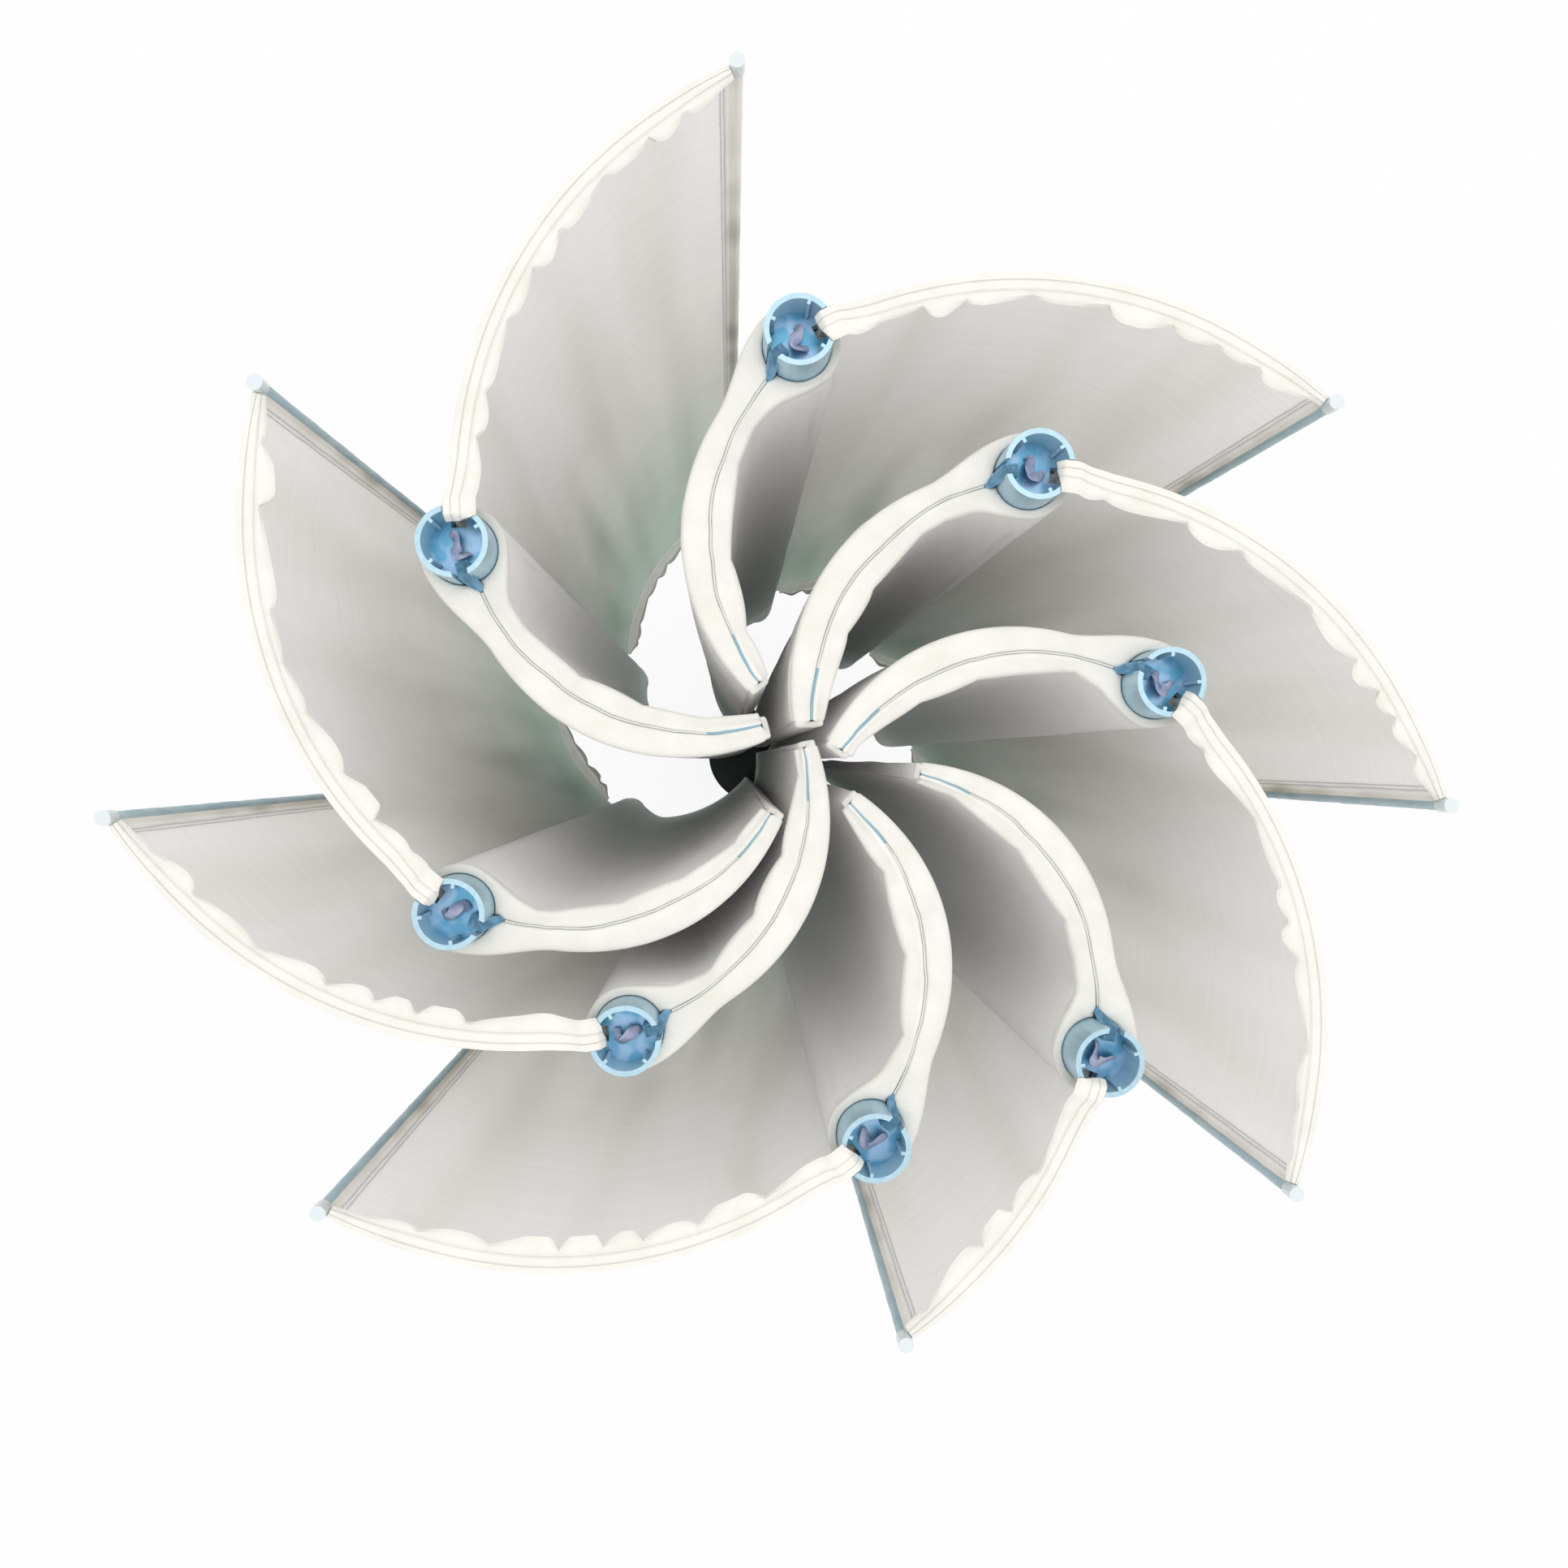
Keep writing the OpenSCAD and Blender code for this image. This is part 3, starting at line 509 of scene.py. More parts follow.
for i in BLADES:
    foot_edge = [(*bow_point(s, off), STOP_TOP + 0.3 if s < TAB_LAP_FROM else HEAD - 2) for s, off, z in TAB]
    head_edge = [(*bow_point(s, off), z - TAB_EDGE) for s, off, z in TAB]
    head_face = [(*bow_point(mix(s, 22, 0.06), mix(off, 0.5, 0.2)), z) for s, off, z in TAB]
    tab = skin(f"web_end_{i + 1}", blade_frame(i), [foot_edge, head_edge, head_face], [0, 18, 19],
               [4 * k for k in range(len(TAB) + 1)], [folded])
    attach(tab, "rotor")


# ---- Luff beads ----
# The edge of each outer sail at the mast: a round bead sewn into woven tape, which slides down the mast's
# outer slot. The bead ends below the head, and only the tape's flat lap goes on up to the hem.

BEAD_AT = 16.115  # the bead's axis, from the mast's axis towards the outer slot
BEAD_R = 7
BEAD_TOP = 1562
MAST_R = 25
PAD_LEN = MAST_R + 8 - BEAD_AT  # where the sail's doubled edge ends, from the bead's axis
OUTER_FOOT = 248.3
OUTER_TOP = 1596
SAIL_SWING = [0, -1, 1, 0, 7, 2, 7, 0]
LUFF_LAP = [(PAD_LEN - 4, -3.3), (PAD_LEN - 1, -2.4), (PAD_LEN, -0.8),
            (PAD_LEN, 0.8), (PAD_LEN - 1, 2.4), (PAD_LEN - 4, 3.3)]


def bead_frame(i):
    """Outer sail i's frame, in mm: origin in its bead's axis, +X along the sail as it leaves the slot."""
    return blade_frame(i) @ turn_z(SLOT_OUT) @ Matrix.Translation((BEAD_AT, 0, 0)) @ turn_z(SAIL_SWING[i])


# Height and radius of the bead and of the lap above it, and how far their middle lies from the bead's axis.
LUFF = [(OUTER_FOOT, 5, 0), (OUTER_FOOT + 2, BEAD_R, 0)]
LUFF += [(z, BEAD_R, 0) for z in steps(OUTER_FOOT + 20, BEAD_TOP - 6, 40)]
LUFF += [(BEAD_TOP - 2, 6, 1), (BEAD_TOP, 2.4, 4.6)]
LUFF += [(z, 2.2, 6.4) for z in steps(BEAD_TOP + 2, OUTER_TOP - 2, 12)]
for i in BLADES:
    rings = []
    for z, radius, x_mid in LUFF:
        ring = []
        for a in steps(30, 330, 16):
            r = radius * (1 + 0.03 * wander(i, a / 40, z / 30))
            ring.append((x_mid + r * math.cos(math.radians(a)), r * math.sin(math.radians(a)), z))
        ring += [(x, y * min(1, radius / 3.4), z) for x, y in LUFF_LAP]
        rings.append(ring)
    luff = skin(f"luff_bead_{i + 1}", bead_frame(i), rings, [z for z, _, _ in LUFF],
                [2.5 * k for k in range(24)], [tape])
    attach(luff, f"sail_{i + 1}")


# ---- Head and foot hems ----
# Head and foot of each outer sail are rolled into a band, with a gathered ruffle of cream tape on the hollow
# side, sewn down through a crease. At the mast the head hem lies over the rim and droops into the bore.

OUTER_LEN = [397, 397, 397, 391, 238, 403, 397, 397]
OUTER_BOW_R = 325
HEM_W = 26
HEM_RISE = 25
HEM_HEAD_W = 24  # width of the bands where they start at the mast
HEM_FOOT_W = 8
HEM_END = 6
SCALLOP = 46
RIM = 1600
RIM_GAP = 0.8
RIM_STEPS = 16
HEAD_FROM = MAST_R + 2 - BEAD_AT
FOOT_FROM = PAD_LEN + 14

# Folded sailcloth: the sail's own cloth in several layers, so it lets less light through and looks whiter.
hem_cloth, tree, shader = material("folded_sailcloth_hem", "EDEDE8", Roughness=0.8, Subsurface_Weight=1.0,
                                   Subsurface_Radius=(1, 1, 0.97), Subsurface_Scale=0.01)
where = add(tree, "TexCoord").outputs["Object"]
cloth = add(tree, "TexCoord").outputs["UV"]
clouds = add(tree, "TexNoise", Vector=where, Scale=grains(22), Detail=3).outputs["Fac"]
colour = add(tree, "ValToRGB", stops=[(0.3, "E8E8E3"), (0.7, "F1F0EA")], Fac=clouds)
rows = add(tree, "TexWave", {"bands_direction": "X"}, Vector=cloth, Scale=threads(1.5)).outputs["Fac"]
face = add(tree, "Bump", Height=rows, Distance=0.1 * MM)
wire(shader, Base_Color=colour.outputs["Color"], Normal=face.outputs["Normal"])


def sail_point(s, off, z):
    """Point at distance s along the outer bow, off to its full side."""
    a = math.pi / 2 - s / OUTER_BOW_R
    return ((OUTER_BOW_R + off) * math.cos(a), (OUTER_BOW_R + off) * math.sin(a) - OUTER_BOW_R, z)


def hem_width(s, start, length, first):
    """Width of the hem band: it opens from first beside the mast and narrows to the tip."""
    up = smooth((s - start) / HEM_RISE)
    down = min(1.0, max(0.0, (length - s) / 80))
    return mix(first, HEM_W, up) * (1 - 0.62 * (1 - down) ** 1.6)


def gathers(i, s):
    """The ruffle's bumps: 0 where it is pinched, 1 where it is widest, and their phase."""
    lobes = s / SCALLOP + 1.1 * wander(i + 20, s / 100) + 0.37 * i
    leaf = math.sin(math.pi * (lobes % 1) ** 0.7)
    size = 0.6 + 1.3 * wander(i + 30, math.floor(lobes) * 0.7)
    bump = 0.3 + 0.7 * leaf * max(0.1, size) + 0.25 * wander(i + 31, s / 60)
    return min(1, max(0, bump)), math.tau * lobes


def hem_plan(i, s, start, length, first):
    """One section across a hem, as (off, z) from its end: rolled band, crease and ruffle."""
    wide = hem_width(s, start, length, first)
    band = 0.42 * wide
    bump, phase = gathers(i, s)
    lip = band + (wide - 1.5 - band) * mix(bump, 0.9, 1 - smooth((s - start) / 40))
    droop = 0.3 + 0.7 * wander(i + 3, s / 14)
    lift = 0.5 * math.cos(phase + 0.8)
    soft = 0.5 * wander(i + 8, s / 18)
    rolled = [
        (1.1, -13.6), (2.0, -12.4), (2.2, -7), (2.1, -2.4), (1.5, -0.8 + soft * 0.4),
        (-0.3 * band, soft * 0.5), (-0.35 * band, -0.5 + soft * 0.5), (-0.4 * band, soft * 0.5),
        (-0.9 * band, -0.3 + soft * 0.5),
    ]
    creased = [(-band, -1.2), (-band - 0.7, -0.5)]
    ruffle = [
        (-mix(band, lip, 0.4), -0.2 + lift), (-mix(band, lip, 0.8), -0.8 + lift), (-lip, -2.6 - droop),
        (-lip + 0.7, -3.4 - droop), (-mix(band, lip, 0.7), -2.8), (-mix(band, lip, 0.4), -2.4),
    ]
    lapped = [(-band + 0.6, -4.4), (-min(1.6, 0.4 * band), -8), (-1.1, -13.6)]
    return rolled + creased + ruffle + lapped


def head_ring(i, s, length):
    """The head hem's section. It moves over the slot beside the mast, passes over the rim and droops."""
    flat = smooth((HEAD_FROM + 12 - s) / 12)
    over_slot = smooth((HEAD_FROM + 34 - s) / 30)
    ring = []
    for k, (off, z) in enumerate(hem_plan(i, s, HEAD_FROM, length, HEM_HEAD_W)):
        free = over_slot * (1 if 4 <= k <= 16 else flat)
        across = mix(off, 0.97 * off + 2.5, free)
        wall = math.sqrt((MAST_R - 6) ** 2 - min(16, abs(across)) ** 2) - BEAD_AT
        sag = smooth((wall - s) / 8)
        over = RIM + RIM_GAP + (1.0 if 4 <= k <= 12 else 0) + 0.3 * wander(i + 91, off / 5, s / 6)
        end = (1.6 * wander(i + 92, off / 4) + 0.009 * across ** 2) * smooth((5 - s) / 8)
        ring.append(sail_point(s + end, across * (1 - 0.1 * sag), mix(OUTER_TOP + z, over - 10 * sag, flat)))
    return ring


def foot_ring(i, s, length):
    return [sail_point(s, off, OUTER_FOOT - z) for off, z in hem_plan(i, s, FOOT_FROM, length, HEM_FOOT_W)]


head_hems, foot_hems = [], []
for i in BLADES:
    length = OUTER_LEN[i]
    spread = [2.2 * k for k in range(21)]
    path = steps(-2.5, HEAD_FROM + 6, RIM_STEPS) + steps(HEAD_FROM + 9, length - HEM_END, round(length / 3.2))
    rings = [head_ring(i, s, length) for s in path]
    head = skin(f"head_hem_{i + 1}", bead_frame(i), rings, path, spread, [hem_cloth, tape],
                lambda j, k: 1 if 4 <= k <= 15 or j < RIM_STEPS else 0)
    path = steps(FOOT_FROM, length - HEM_END, round(length / 6))
    rings = [foot_ring(i, s, length) for s in path]
    foot = skin(f"foot_hem_{i + 1}", bead_frame(i), rings, path, spread, [hem_cloth, tape],
                lambda j, k: 1 if 9 <= k <= 15 else 0)
    for hem in (head, foot):
        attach(hem, f"sail_{i + 1}")
    head_hems.append(head)
    foot_hems.append(foot)


# ---- Edge sleeves ----
# A folded sleeve closes round each tip rod and laps onto both faces of the sail, where it is sewn down.
# Seven are of slate blue cloth, and the first sail's is of its own white cloth.

ROD_R = 3.5
PLAIN_EDGE = 0
SLEEVE_PLY = 0.7
SLEEVE_BACK = 1.4  # how far the sleeve's middle lies inside the rod's
SLEEVE_TURN = 12  # steps round the rod, before those of the lap

# Ripstop sailcloth: thin white cloth that glows where the light comes through, with raised rip threads 6 mm
# apart and drawn streaks.
# Painted shade greys and greens it low down, and long soft painted bands darken it as the shade of its folds.
ripstop, tree, shader = material("ripstop_sailcloth", "ECEAE4", Roughness=0.72, Subsurface_Weight=1.0,
                                 Subsurface_Radius=(1, 1, 0.97), Subsurface_Scale=0.01)
cloth = add(tree, "TexCoord").outputs["UV"]
rip = add(tree, "TexWave", {"bands_direction": "Y"}, Vector=cloth, Scale=threads(6)).outputs["Fac"]
ribs = add(tree, "Math", {"operation": "POWER"}, inputs=(rip, 6)).outputs["Value"]
across = add(tree, "Mapping", Vector=cloth, Scale=(0.06, 1, 1)).outputs["Vector"]
streaks = add(tree, "TexNoise", Vector=across, Scale=grains(7), Detail=3).outputs["Fac"]
share = add(tree, "Math", {"operation": "MULTIPLY"}, inputs=(streaks, 0.55)).outputs["Value"]
# painted shade: greyer and greenish towards the foot
streaked = add(tree, "MixRGB", {"blend_type": "MULTIPLY"}, Fac=share,
               Color1=painted_depth_shade(tree, "F6F2ED", "E2DED8", "AABCB1", 130), Color2=linear("E4E3E0"))
# painted shade: long soft bands darken the cloth as if shaded in its folds
down = add(tree, "Mapping", Vector=cloth, Scale=(1, 0.12, 1)).outputs["Vector"]
folds = add(tree, "TexNoise", Vector=down, Scale=grains(60), Detail=0).outputs["Fac"]
painted_fold_shade = add(tree, "MapRange", Value=folds, From_Min=0.42, From_Max=0.85).outputs["Result"]
fold_shaded = add(tree, "MixRGB", {"blend_type": "MULTIPLY"}, Fac=painted_fold_shade, Color1=streaked.outputs["Color"],
             Color2=linear("D2D4D1"))
face = add(tree, "Bump", Height=ribs, Distance=0.045 * MM)
wire(shader, Base_Color=fold_shaded.outputs["Color"], Normal=face.outputs["Normal"])

# Slate blue sleeve cloth: matt pale blue, bleached in upright patches by the weather, over 1.5 mm threads.
rod_sleeve, tree, shader = material("slate_blue_edge_sleeve_cloth", "B4CBD5", Roughness=0.7)
where = add(tree, "TexCoord").outputs["Object"]
upright = add(tree, "Mapping", Vector=where, Scale=(1, 1, 0.3)).outputs["Vector"]
bleached = add(tree, "TexNoise", Vector=upright, Scale=grains(9), Detail=3).outputs["Fac"]
colour = add(tree, "ValToRGB", stops=[(0.3, "A6C0CB"), (0.7, "C3D6DE")], Fac=bleached)
rows = add(tree, "TexWave", {"bands_direction": "Z"}, Vector=where, Scale=threads(1.5)).outputs["Fac"]
face = add(tree, "Bump", Height=rows, Distance=0.1 * MM)
wire(shader, Base_Color=colour.outputs["Color"], Normal=face.outputs["Normal"])

for i in BLADES:
    rod_s = OUTER_LEN[i] - ROD_R
    heights = steps(OUTER_FOOT + 3, OUTER_TOP - 3, 130)
    turns = [math.radians(a) for a in steps(-140, 140, SLEEVE_TURN)]
    rings = []
    for z in heights:
        wave = 0.5 * wander(i + 50, z / 26) + 0.25 * wander(i + 51, z / 9)
        lap = [(1.0, 2.1), (2.0, 1.2), (2.8, 1.2), (5.0 + wave, 1.1), (5.8 + wave, 0.7)]
        reach = ROD_R + SLEEVE_PLY + 0.4 * wander(i + 55, z / 14)
        plan = [(-SLEEVE_BACK - ROD_R - reach * math.cos(a), reach * math.sin(a)) for a in turns]
        plan += lap + [(s, -off) for s, off in reversed(lap)]
        rings.append([sail_point(rod_s - SLEEVE_BACK - s, off, z) for s, off in plan])
    spread = [2 * k for k in range(len(rings[0]) + 1)]
    edge = skin(f"edge_tape_{i + 1}", bead_frame(i), rings, heights, spread, [ripstop, rod_sleeve],
                lambda j, k: 1 if k <= SLEEVE_TURN and i != PLAIN_EDGE else 0)
    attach(edge, f"sail_{i + 1}")


# ---- Outer sails ----
# One sheet of ripstop sailcloth each, stretched from the bead in the mast's outer slot to the tip rod.
# It is cut to the bow, and a seam of white thread near the rod sews the edge sleeve to it.

CLOTH_T = 1.2
HEM_HELD = 14  # how far from its hems and its edge the cloth is held to its plain bow
EDGE_HELD = 13
SHEET_IN = 3  # how far the sheet reaches into the luff's lap, and past the rod's near side
SHEET_OUT = 2.4
HEAD_ROWS = [0, 6, 12, 18, 25, 33, 42, 52, 64, 78, 94, 112, 132, 155]
FOOT_ROWS = [48, 37, 27, 18, 10, 2]
SEAM_IN = 10
STITCH = [(0.3, -0.7), (0.3, 0.7), (-0.3, 0.7), (-0.3, -0.7)]

# Polyester thread: a bright, tight line with a stitch every 2.5 mm.
thread, tree, shader = material("polyester_sewing_thread", "D3D6D4", Roughness=0.6)
where = add(tree, "TexCoord").outputs["Object"]
stitches = add(tree, "TexWave", {"bands_direction": "Z"}, Vector=where, Scale=threads(2.5)).outputs["Fac"]
sunk = add(tree, "Bump", Height=stitches, Distance=0.2 * MM)
wire(shader, Normal=sunk.outputs["Normal"])


def billow(i, s, z, length):
    """How far the cloth lies off its plain bow: gathers below the head and long soft folds."""
    below, above = OUTER_TOP - z, z - OUTER_FOOT
    bump, phase = gathers(i, s)
    free = smooth((s - PAD_LEN) / 30) * smooth((length - EDGE_HELD - s) / 34)
    free *= smooth((below - HEM_HELD) / 50) * smooth((above - HEM_HELD) / 50)
    pull = -1.9 * math.cos(phase) * (math.exp(-below / 75) + 0.6 * math.exp(-above / 62))
    fold = 4.6 * wander(i, s / 130 + z / 300, z / 420) + 2.2 * wander(i + 5, s / 48 - z / 190, z / 260)
    return free * (pull + fold)


for i in BLADES:
    number = i + 1
    length = OUTER_LEN[i]
    rod_s = length - ROD_R
    columns = steps(PAD_LEN - SHEET_IN, rod_s + SHEET_OUT, max(24, round(length / 5.5)))
    rows = [OUTER_TOP - 1.5 - drop for drop in HEAD_ROWS]
    rows += steps(rows[-1] - 22, OUTER_FOOT + 60, 46)
    rows += [OUTER_FOOT + rise for rise in FOOT_ROWS]
    rings = [[sail_point(s, billow(i, s, z, length), z) for z in rows] for s in columns]
    sail = skin(f"sailcloth_{number}", bead_frame(i), rings, columns, [OUTER_TOP - z for z in rows],
                [ripstop], loop=False, caps=False)
    thick = sail.modifiers.new("thickness", "SOLIDIFY")
    thick.thickness = CLOTH_T * MM
    thick.offset = 0
    bpy.context.view_layer.objects.active = sail
    bpy.ops.object.modifier_apply(modifier=thick.name)

    heights = steps(OUTER_FOOT + 16, OUTER_TOP - 16, 160)
    rings = []
    for z in heights:
        s = rod_s - SEAM_IN + 0.3 * wander(i + 70, z / 40)
        mid = billow(i, s, z, length)
        rings.append([sail_point(s + x, mid + y, z) for x, y in STITCH])
    seam = skin(f"edge_seam_{number}", bead_frame(i), rings, heights, [0, 1, 2, 3, 4], [thread])

    for part in (sail, seam):
        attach(part, f"sail_{number}")
    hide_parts(f"outer_sail_{number}")


# ---- Sleeve ends ----
# Flat woven ends from the webs' beads, which lie crumpled on the head stops inside the masts. What they are
# isn't settled: ends of the beads' woven sleeves, as they are named here, or tails of flat cord.

END_LEN = 17
END_W = 4.6  # half of its width, and of its thickness
END_T = 1.1

# Woven sleeve cloth: matt lilac grey, mottled by wear, with 1 mm threads that break its edge.
sleeve_end, tree, shader = material("woven_grey_sleeve_cloth", "A2A4BA", Roughness=0.8)
where = add(tree, "TexCoord").outputs["Object"]
mottled = add(tree, "TexNoise", Vector=where, Scale=grains(7), Detail=2).outputs["Fac"]
colour = add(tree, "ValToRGB", stops=[(0.4, "98A2C0"), (0.6, "B4B6CC")], Fac=mottled)
rows = add(tree, "TexWave", {"bands_direction": "Z"}, Vector=where, Scale=threads(1.0)).outputs["Fac"]
face = add(tree, "Bump", Height=rows, Distance=0.2 * MM)
wire(shader, Base_Color=colour.outputs["Color"], Normal=face.outputs["Normal"])


def end_point(i, u):
    """The crumpled end's middle line, from u = 0 to 1: it bends twice and humps up off the stop."""
    bend = 5.5 * math.sin(math.tau * 0.9 * u + 0.6 + 0.4 * i)
    height = STOP_TOP + 3 + 6 * math.sin(math.pi * u) + 1.5 * wander(i, u * 4)
    return Vector((END_LEN * u - END_LEN / 2, bend, height))


for i in BLADES:
    rings, run = [], []
    for u in steps(0, 1, 30):
        ahead = (end_point(i, u + 0.01) - end_point(i, u - 0.01)).normalized()
        level = Vector((-ahead.y, ahead.x, 0))
        side = Matrix.Rotation(0.9 * math.sin(5 * u + i), 3, ahead) @ level.normalized()
        over = ahead.cross(side)
        wide = END_W * (0.6 + 0.4 * math.sin(math.pi * u)) + 1.4 * wander(i + 7, u * 7)
        ring = []
        for k in range(10):
            a = math.tau * k / 10
            ring.append(tuple(end_point(i, u) + side * wide * math.cos(a) + over * END_T * math.sin(a)))
        rings.append(ring)
        run.append(24 * u)
    end = skin(f"sleeve_end_{i + 1}", blade_frame(i) @ turn_z(47 * i), rings, run, list(range(11)),
               [sleeve_end])
    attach(end, "rotor")


# ---- Tip rods ----
# Drawn composite rods at the outer edges of the sails, which keep them stretched.
# They are slate blue, with moulded pale caps pressed on both ends.

CAP_FROM = 1588.1  # heights above and below which the rods' caps stand
CAP_TO = 256.2

# Drawn composite: pale blue resin over glass fibres that run along the rod. The caps are smoother and whiter.
rod_finish, tree, shader = material("drawn_composite_rod", "A9C0CC", Roughness=0.42, Coat_Weight=0.3)
where = add(tree, "TexCoord").outputs["Object"]
height = add(tree, "SeparateXYZ", Vector=where).outputs["Z"]
over = add(tree, "Math", {"operation": "GREATER_THAN"}, inputs=(height, CAP_FROM * MM)).outputs["Value"]
under = add(tree, "Math", {"operation": "LESS_THAN"}, inputs=(height, CAP_TO * MM)).outputs["Value"]
is_cap = add(tree, "Math", {"operation": "ADD"}, inputs=(over, under)).outputs["Value"]
upright = add(tree, "Mapping", Vector=where, Scale=(1, 1, 0.05)).outputs["Vector"]
fibres = add(tree, "TexNoise", Vector=upright, Scale=grains(3), Detail=3).outputs["Fac"]
resin = add(tree, "ValToRGB", stops=[(0.3, "98B4C2"), (0.7, "BCD0D8")], Fac=fibres)
colour = add(tree, "MixRGB", Fac=is_cap, Color1=resin.outputs["Color"], Color2=linear("DDE6E8"))
polish = add(tree, "MapRange", Value=is_cap, To_Min=0.45, To_Max=0.18)
wire(shader, Base_Color=colour.outputs["Color"], Roughness=polish.outputs["Result"])
for i in BLADES:
    paint(f"tip_rod_{i + 1}", rod_finish)


# ---- Arms and hub ----
# Bent steel foot arms carry the masts and the inner sails, and a machined hub plate joins them to the shaft.
# Both are powder coated in a greenish charcoal, and zinc plated bolts and screws hold them together.

# Powder coated steel: a dark satin skin with the fine orange peel of the baked powder.
powder, tree, shader = material("powder_coated_steel", "2F3A37", Roughness=0.5)
where = add(tree, "TexCoord").outputs["Object"]
peel = add(tree, "TexNoise", Vector=where, Scale=grains(1.6), Detail=2).outputs["Fac"]
clouds = add(tree, "TexNoise", Vector=where, Scale=grains(45), Detail=3).outputs["Fac"]
colour = add(tree, "ValToRGB", stops=[(0.3, "2B3633"), (0.7, "35413D")], Fac=clouds)
dusty = add(tree, "MapRange", Value=peel, To_Min=0.42, To_Max=0.6)
face = add(tree, "Bump", Height=peel, Distance=0.05 * MM)
wire(shader, Base_Color=colour.outputs["Color"], Roughness=dusty.outputs["Result"],
     Normal=face.outputs["Normal"])
for i in BLADES:
    paint(f"arm_{i + 1}", powder)
paint("hub_plate", powder)
paint("arm_bolts", zinc)
paint("hub_screws", zinc)


# ---- Generator ----
# A cast aluminium flange, finned housing and cover, painted and held together by zinc plated screws.
# Inside are the wound stator, and the shaft in its two ball bearings with the magnet drum.

# Painted cast aluminium: a dull blue grey paint that follows the sand cast skin below it.
cast_paint, tree, shader = material("painted_cast_aluminium", "4A5459", Roughness=0.55)
where = add(tree, "TexCoord").outputs["Object"]
sand = add(tree, "TexNoise", Vector=where, Scale=grains(0.9), Detail=3).outputs["Fac"]
clouds = add(tree, "TexNoise", Vector=where, Scale=grains(35), Detail=3).outputs["Fac"]
colour = add(tree, "ValToRGB", stops=[(0.3, "454F54"), (0.7, "525C61")], Fac=clouds)
dull = add(tree, "MapRange", Value=sand, To_Min=0.48, To_Max=0.66)
face = add(tree, "Bump", Height=sand, Distance=0.12 * MM)
wire(shader, Base_Color=colour.outputs["Color"], Roughness=dull.outputs["Result"],
     Normal=face.outputs["Normal"])
for name in ("base_flange", "generator_housing", "generator_cover"):
    paint(name, cast_paint)
paint("tie_screws", zinc)

# Ground steel: nearly a mirror, with hair lines round the axis.
ground, tree, shader = material("ground_steel", "B4B6B8", Roughness=0.22, Metallic=1.0)
where = add(tree, "TexCoord").outputs["Object"]
flattened = add(tree, "Mapping", Vector=where, Scale=(0.03, 0.03, 1)).outputs["Vector"]
hair_lines = add(tree, "TexNoise", Vector=flattened, Scale=grains(0.25), Detail=2).outputs["Fac"]
fine = add(tree, "MapRange", Value=hair_lines, To_Min=0.14, To_Max=0.3)
wire(shader, Roughness=fine.outputs["Result"])
for name in ("rotor_shaft", "bearing_inner_rings", "bearing_outer_rings", "bearing_balls"):
    paint(name, ground)

# Turned aluminium: bare pale metal with the rings that the lathe left, 0.5 mm apart.
turned, tree, shader = material("turned_aluminium", "A9ADB0", Roughness=0.32, Metallic=0.9)
where = add(tree, "TexCoord").outputs["Object"]
flattened = add(tree, "Mapping", Vector=where, Scale=(0.02, 0.02, 1)).outputs["Vector"]
lathe_rings = add(tree, "TexNoise", Vector=flattened, Scale=grains(0.5), Detail=2).outputs["Fac"]
bright = add(tree, "MapRange", Value=lathe_rings, To_Min=0.24, To_Max=0.42)
face = add(tree, "Bump", Height=lathe_rings, Distance=0.02 * MM)
wire(shader, Roughness=bright.outputs["Result"], Normal=face.outputs["Normal"])
paint("magnet_drum", turned)

# Nickel plate: bright and slightly warm, dulled in spots by fingers.
nickel, tree, shader = material("nickel_plated_magnets", "C4C5C6", Roughness=0.2, Metallic=1.0)
where = add(tree, "TexCoord").outputs["Object"]
spots = add(tree, "TexNoise", Vector=where, Scale=grains(5), Detail=2).outputs["Fac"]
touched = add(tree, "MapRange", Value=spots, To_Min=0.12, To_Max=0.26)
wire(shader, Roughness=touched.outputs["Result"])
paint("rotor_magnets", nickel)

# Stacked laminations: dark steel edges in level lines. The 0.5 mm sheets are drawn 1 mm thick, because they
# would be too fine to show.
laminated, tree, shader = material("stacked_steel_laminations", "5B5C5E", Roughness=0.5, Metallic=0.8)
where = add(tree, "TexCoord").outputs["Object"]
sheets = add(tree, "TexWave", {"bands_direction": "Z"}, Vector=where, Scale=threads(1.0)).outputs["Fac"]
colour = add(tree, "ValToRGB", stops=[(0.3, "4C4D4F"), (0.7, "68696B")], Fac=sheets)
face = add(tree, "Bump", Height=sheets, Distance=0.1 * MM)
wire(shader, Base_Color=colour.outputs["Color"], Normal=face.outputs["Normal"])
paint("stator_core", laminated)

# Enamelled copper wire: glossy red brown turns 1.1 mm thick, with painted shade that darkens the colour
# between them.
copper, tree, shader = material("enamelled_copper_winding", "A8602E", Roughness=0.3, Metallic=0.85)
where = add(tree, "TexCoord").outputs["Object"]
turns = add(tree, "TexWave", {"bands_direction": "Z"}, Vector=where, Scale=threads(1.1)).outputs["Fac"]
# painted shade: the colour is darker between the turns
colour = add(tree, "ValToRGB", stops=[(0.3, "8E4C22"), (0.7, "BC7238")], Fac=turns)
face = add(tree, "Bump", Height=turns, Distance=0.4 * MM)
wire(shader, Base_Color=colour.outputs["Color"], Normal=face.outputs["Normal"])
paint("stator_coils", copper)

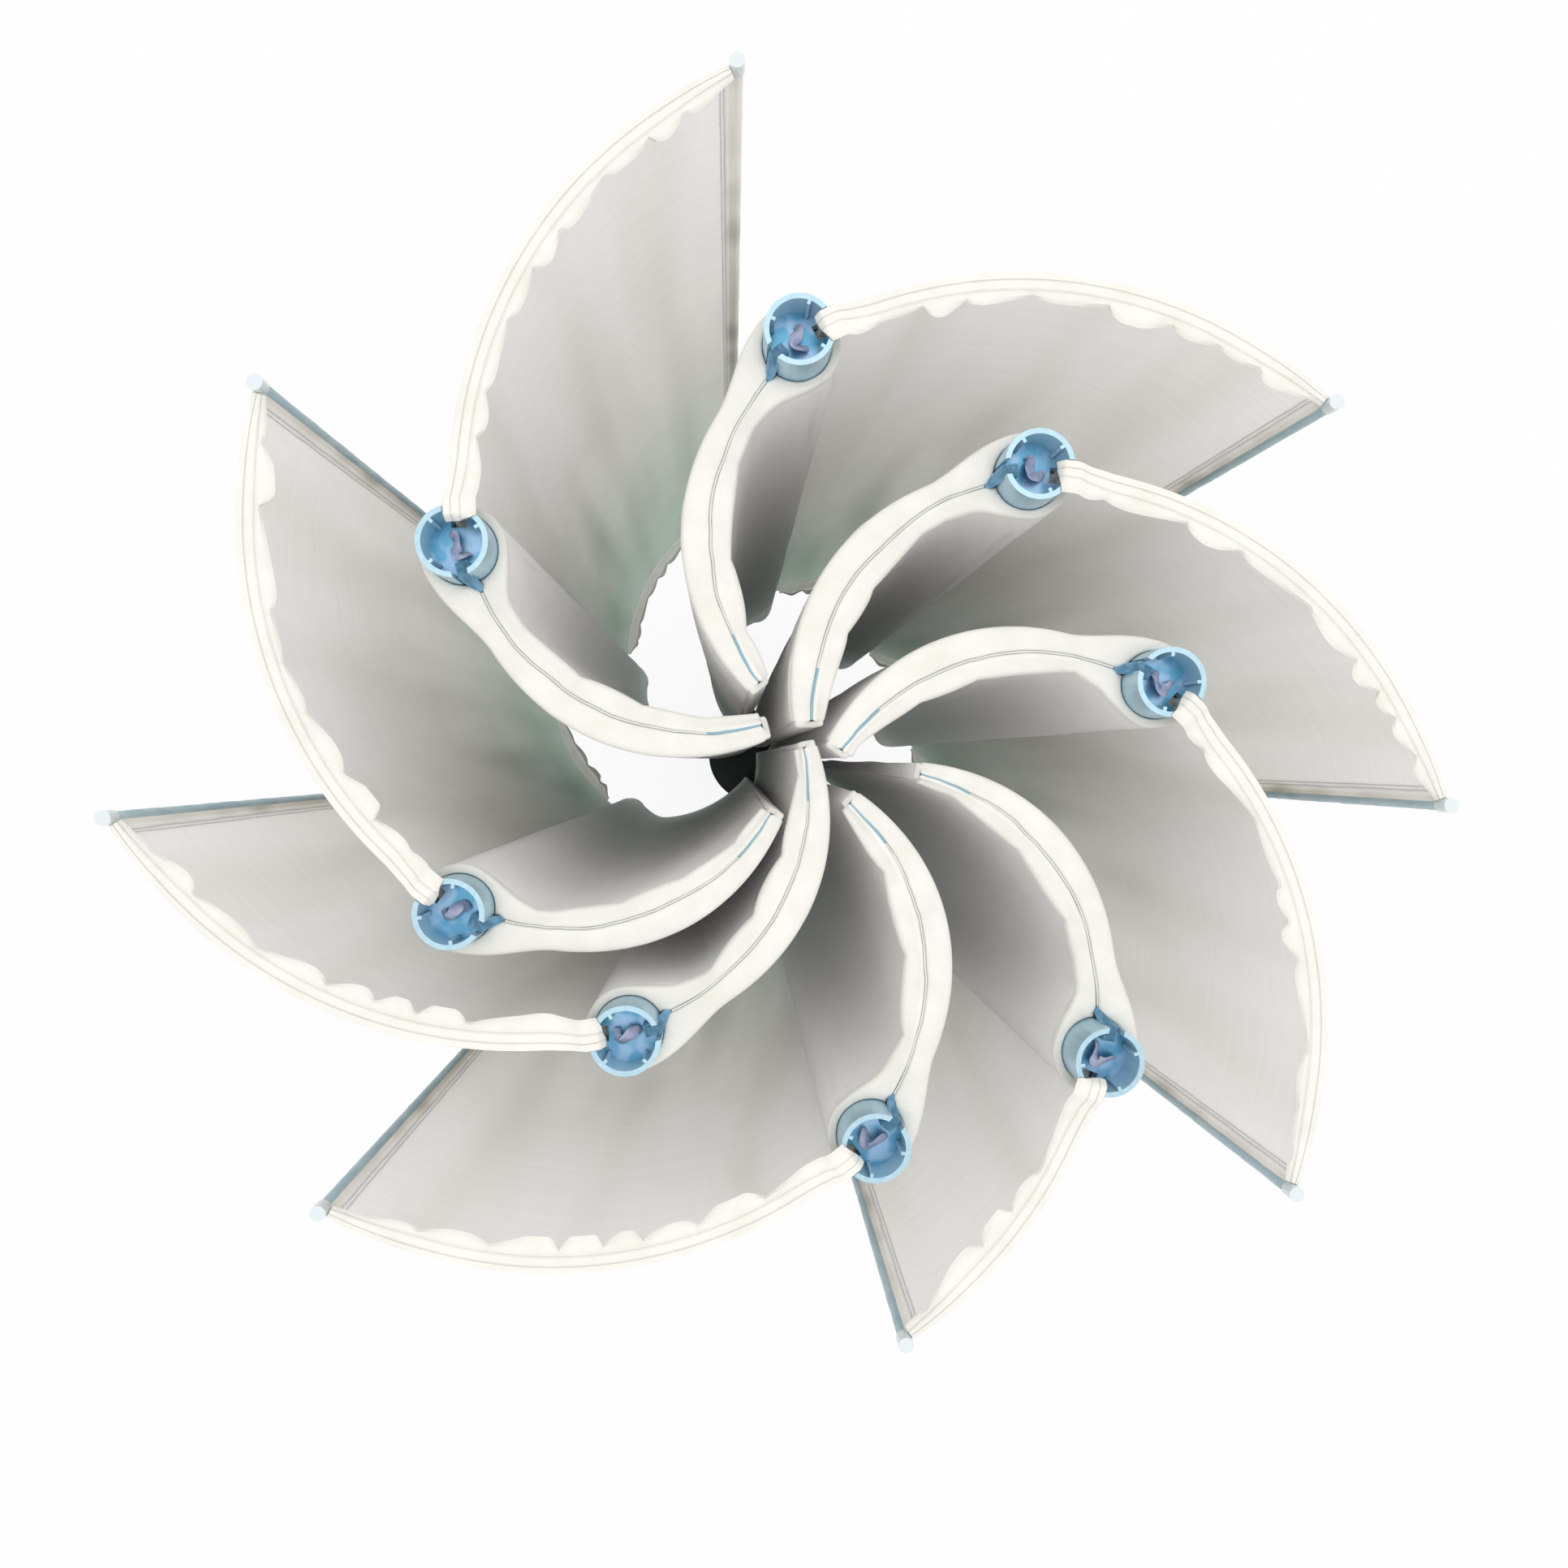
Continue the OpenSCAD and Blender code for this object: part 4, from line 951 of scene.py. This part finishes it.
# Moulded nylon: black with the even, fine matt of an eroded mould.
nylon, tree, shader = material("moulded_black_nylon", "191A1C", Roughness=0.48)
where = add(tree, "TexCoord").outputs["Object"]
eroded = add(tree, "TexNoise", Vector=where, Scale=grains(0.7), Detail=2).outputs["Fac"]
matt = add(tree, "MapRange", Value=eroded, To_Min=0.4, To_Max=0.58)
face = add(tree, "Bump", Height=eroded, Distance=0.04 * MM)
wire(shader, Roughness=matt.outputs["Result"], Normal=face.outputs["Normal"])
paint("cable_gland", nylon)

# Nitrile rubber: soft black, duller where it has dried.
rubber, tree, shader = material("moulded_nitrile_rubber", "141414", Roughness=0.62)
where = add(tree, "TexCoord").outputs["Object"]
dried = add(tree, "TexNoise", Vector=where, Scale=grains(1.5), Detail=2).outputs["Fac"]
matt = add(tree, "MapRange", Value=dried, To_Min=0.55, To_Max=0.72)
wire(shader, Roughness=matt.outputs["Result"])
paint("shaft_seal", rubber)


# ---- Floor, light and camera ----
# A plain pale floor, a soft even light from all around and one soft lamp above.
# The camera looks down onto the mast heads from 0.79 m above them.

FLOOR_HALF = 15  # metres, as all sizes from here on

floor_mesh = bpy.data.meshes.new("floor")
corners = [(-FLOOR_HALF, -FLOOR_HALF, 0), (FLOOR_HALF, -FLOOR_HALF, 0),
           (FLOOR_HALF, FLOOR_HALF, 0), (-FLOOR_HALF, FLOOR_HALF, 0)]
floor_mesh.from_pydata(corners, [], [(0, 1, 2, 3)])
floor = bpy.data.objects.new("floor", floor_mesh)
bpy.context.scene.collection.objects.link(floor)

# Studio floor: matt white that is nearly its own light to the camera, so only a soft shadow is left on it.
matte, tree, shader = material("white_studio_floor", "F4F4F3", Roughness=0.9)
path = add(tree, "LightPath")
seen = add(tree, "Math", {"operation": "MAXIMUM"},
           inputs=(path.outputs["Is Camera Ray"], path.outputs["Is Glossy Ray"]))
through = add(tree, "Math", {"operation": "MAXIMUM"},
              inputs=(seen.outputs["Value"], path.outputs["Is Transmission Ray"]))
share = add(tree, "Math", {"operation": "MULTIPLY"}, inputs=(through.outputs["Value"], 0.9))
glow = add(tree, "Emission", Color=(1, 1, 1, 1), Strength=1.0)
lit = add(tree, "MixShader",
          inputs=(share.outputs["Value"], shader.outputs["BSDF"], glow.outputs["Emission"]))
wire(tree.nodes["Material Output"], Surface=lit.outputs["Shader"])
floor_mesh.materials.append(matte)

world = bpy.data.worlds.new("studio")
bpy.context.scene.world = world
world.use_nodes = True
tree = world.node_tree
path = add(tree, "LightPath")
seen = add(tree, "Math", {"operation": "MAXIMUM"},
           inputs=(path.outputs["Is Camera Ray"], path.outputs["Is Glossy Ray"]))
level = add(tree, "MapRange", Value=seen.outputs["Value"], To_Min=0.93, To_Max=1.0)
wire(tree.nodes["Background"], Color=(1, 1, 1, 1), Strength=level.outputs["Result"])

LAMP_AT = Vector((0.2, 0.4, 5.0))
LAMP_AIM = Vector((0, 0, 1.0))
lamp = bpy.data.lights.new("top_softbox", "AREA")
lamp.size = 2.5
lamp.energy = 32
softbox = bpy.data.objects.new("top_softbox", lamp)
softbox.location = LAMP_AT
softbox.rotation_mode = "QUATERNION"
softbox.rotation_quaternion = (LAMP_AIM - LAMP_AT).to_track_quat("-Z", "Y")
bpy.context.scene.collection.objects.link(softbox)

CAMERA_AT = (-0.0483, -0.0057, 2.390)
CAMERA_DOWN = Vector((-66, 31, -1391))  # which way is straight down, as the camera sees it
view = bpy.data.cameras.new("camera")
view.sensor_width = 36
view.lens = 25.92
view.clip_start = 0.05
camera = bpy.data.objects.new("camera", view)
camera.location = CAMERA_AT
camera.rotation_mode = "QUATERNION"
camera.rotation_quaternion = Vector((0, 0, -1)).rotation_difference(CAMERA_DOWN).inverted()
bpy.context.scene.collection.objects.link(camera)
bpy.context.scene.camera = camera
bpy.context.scene.view_settings.view_transform = "Standard"
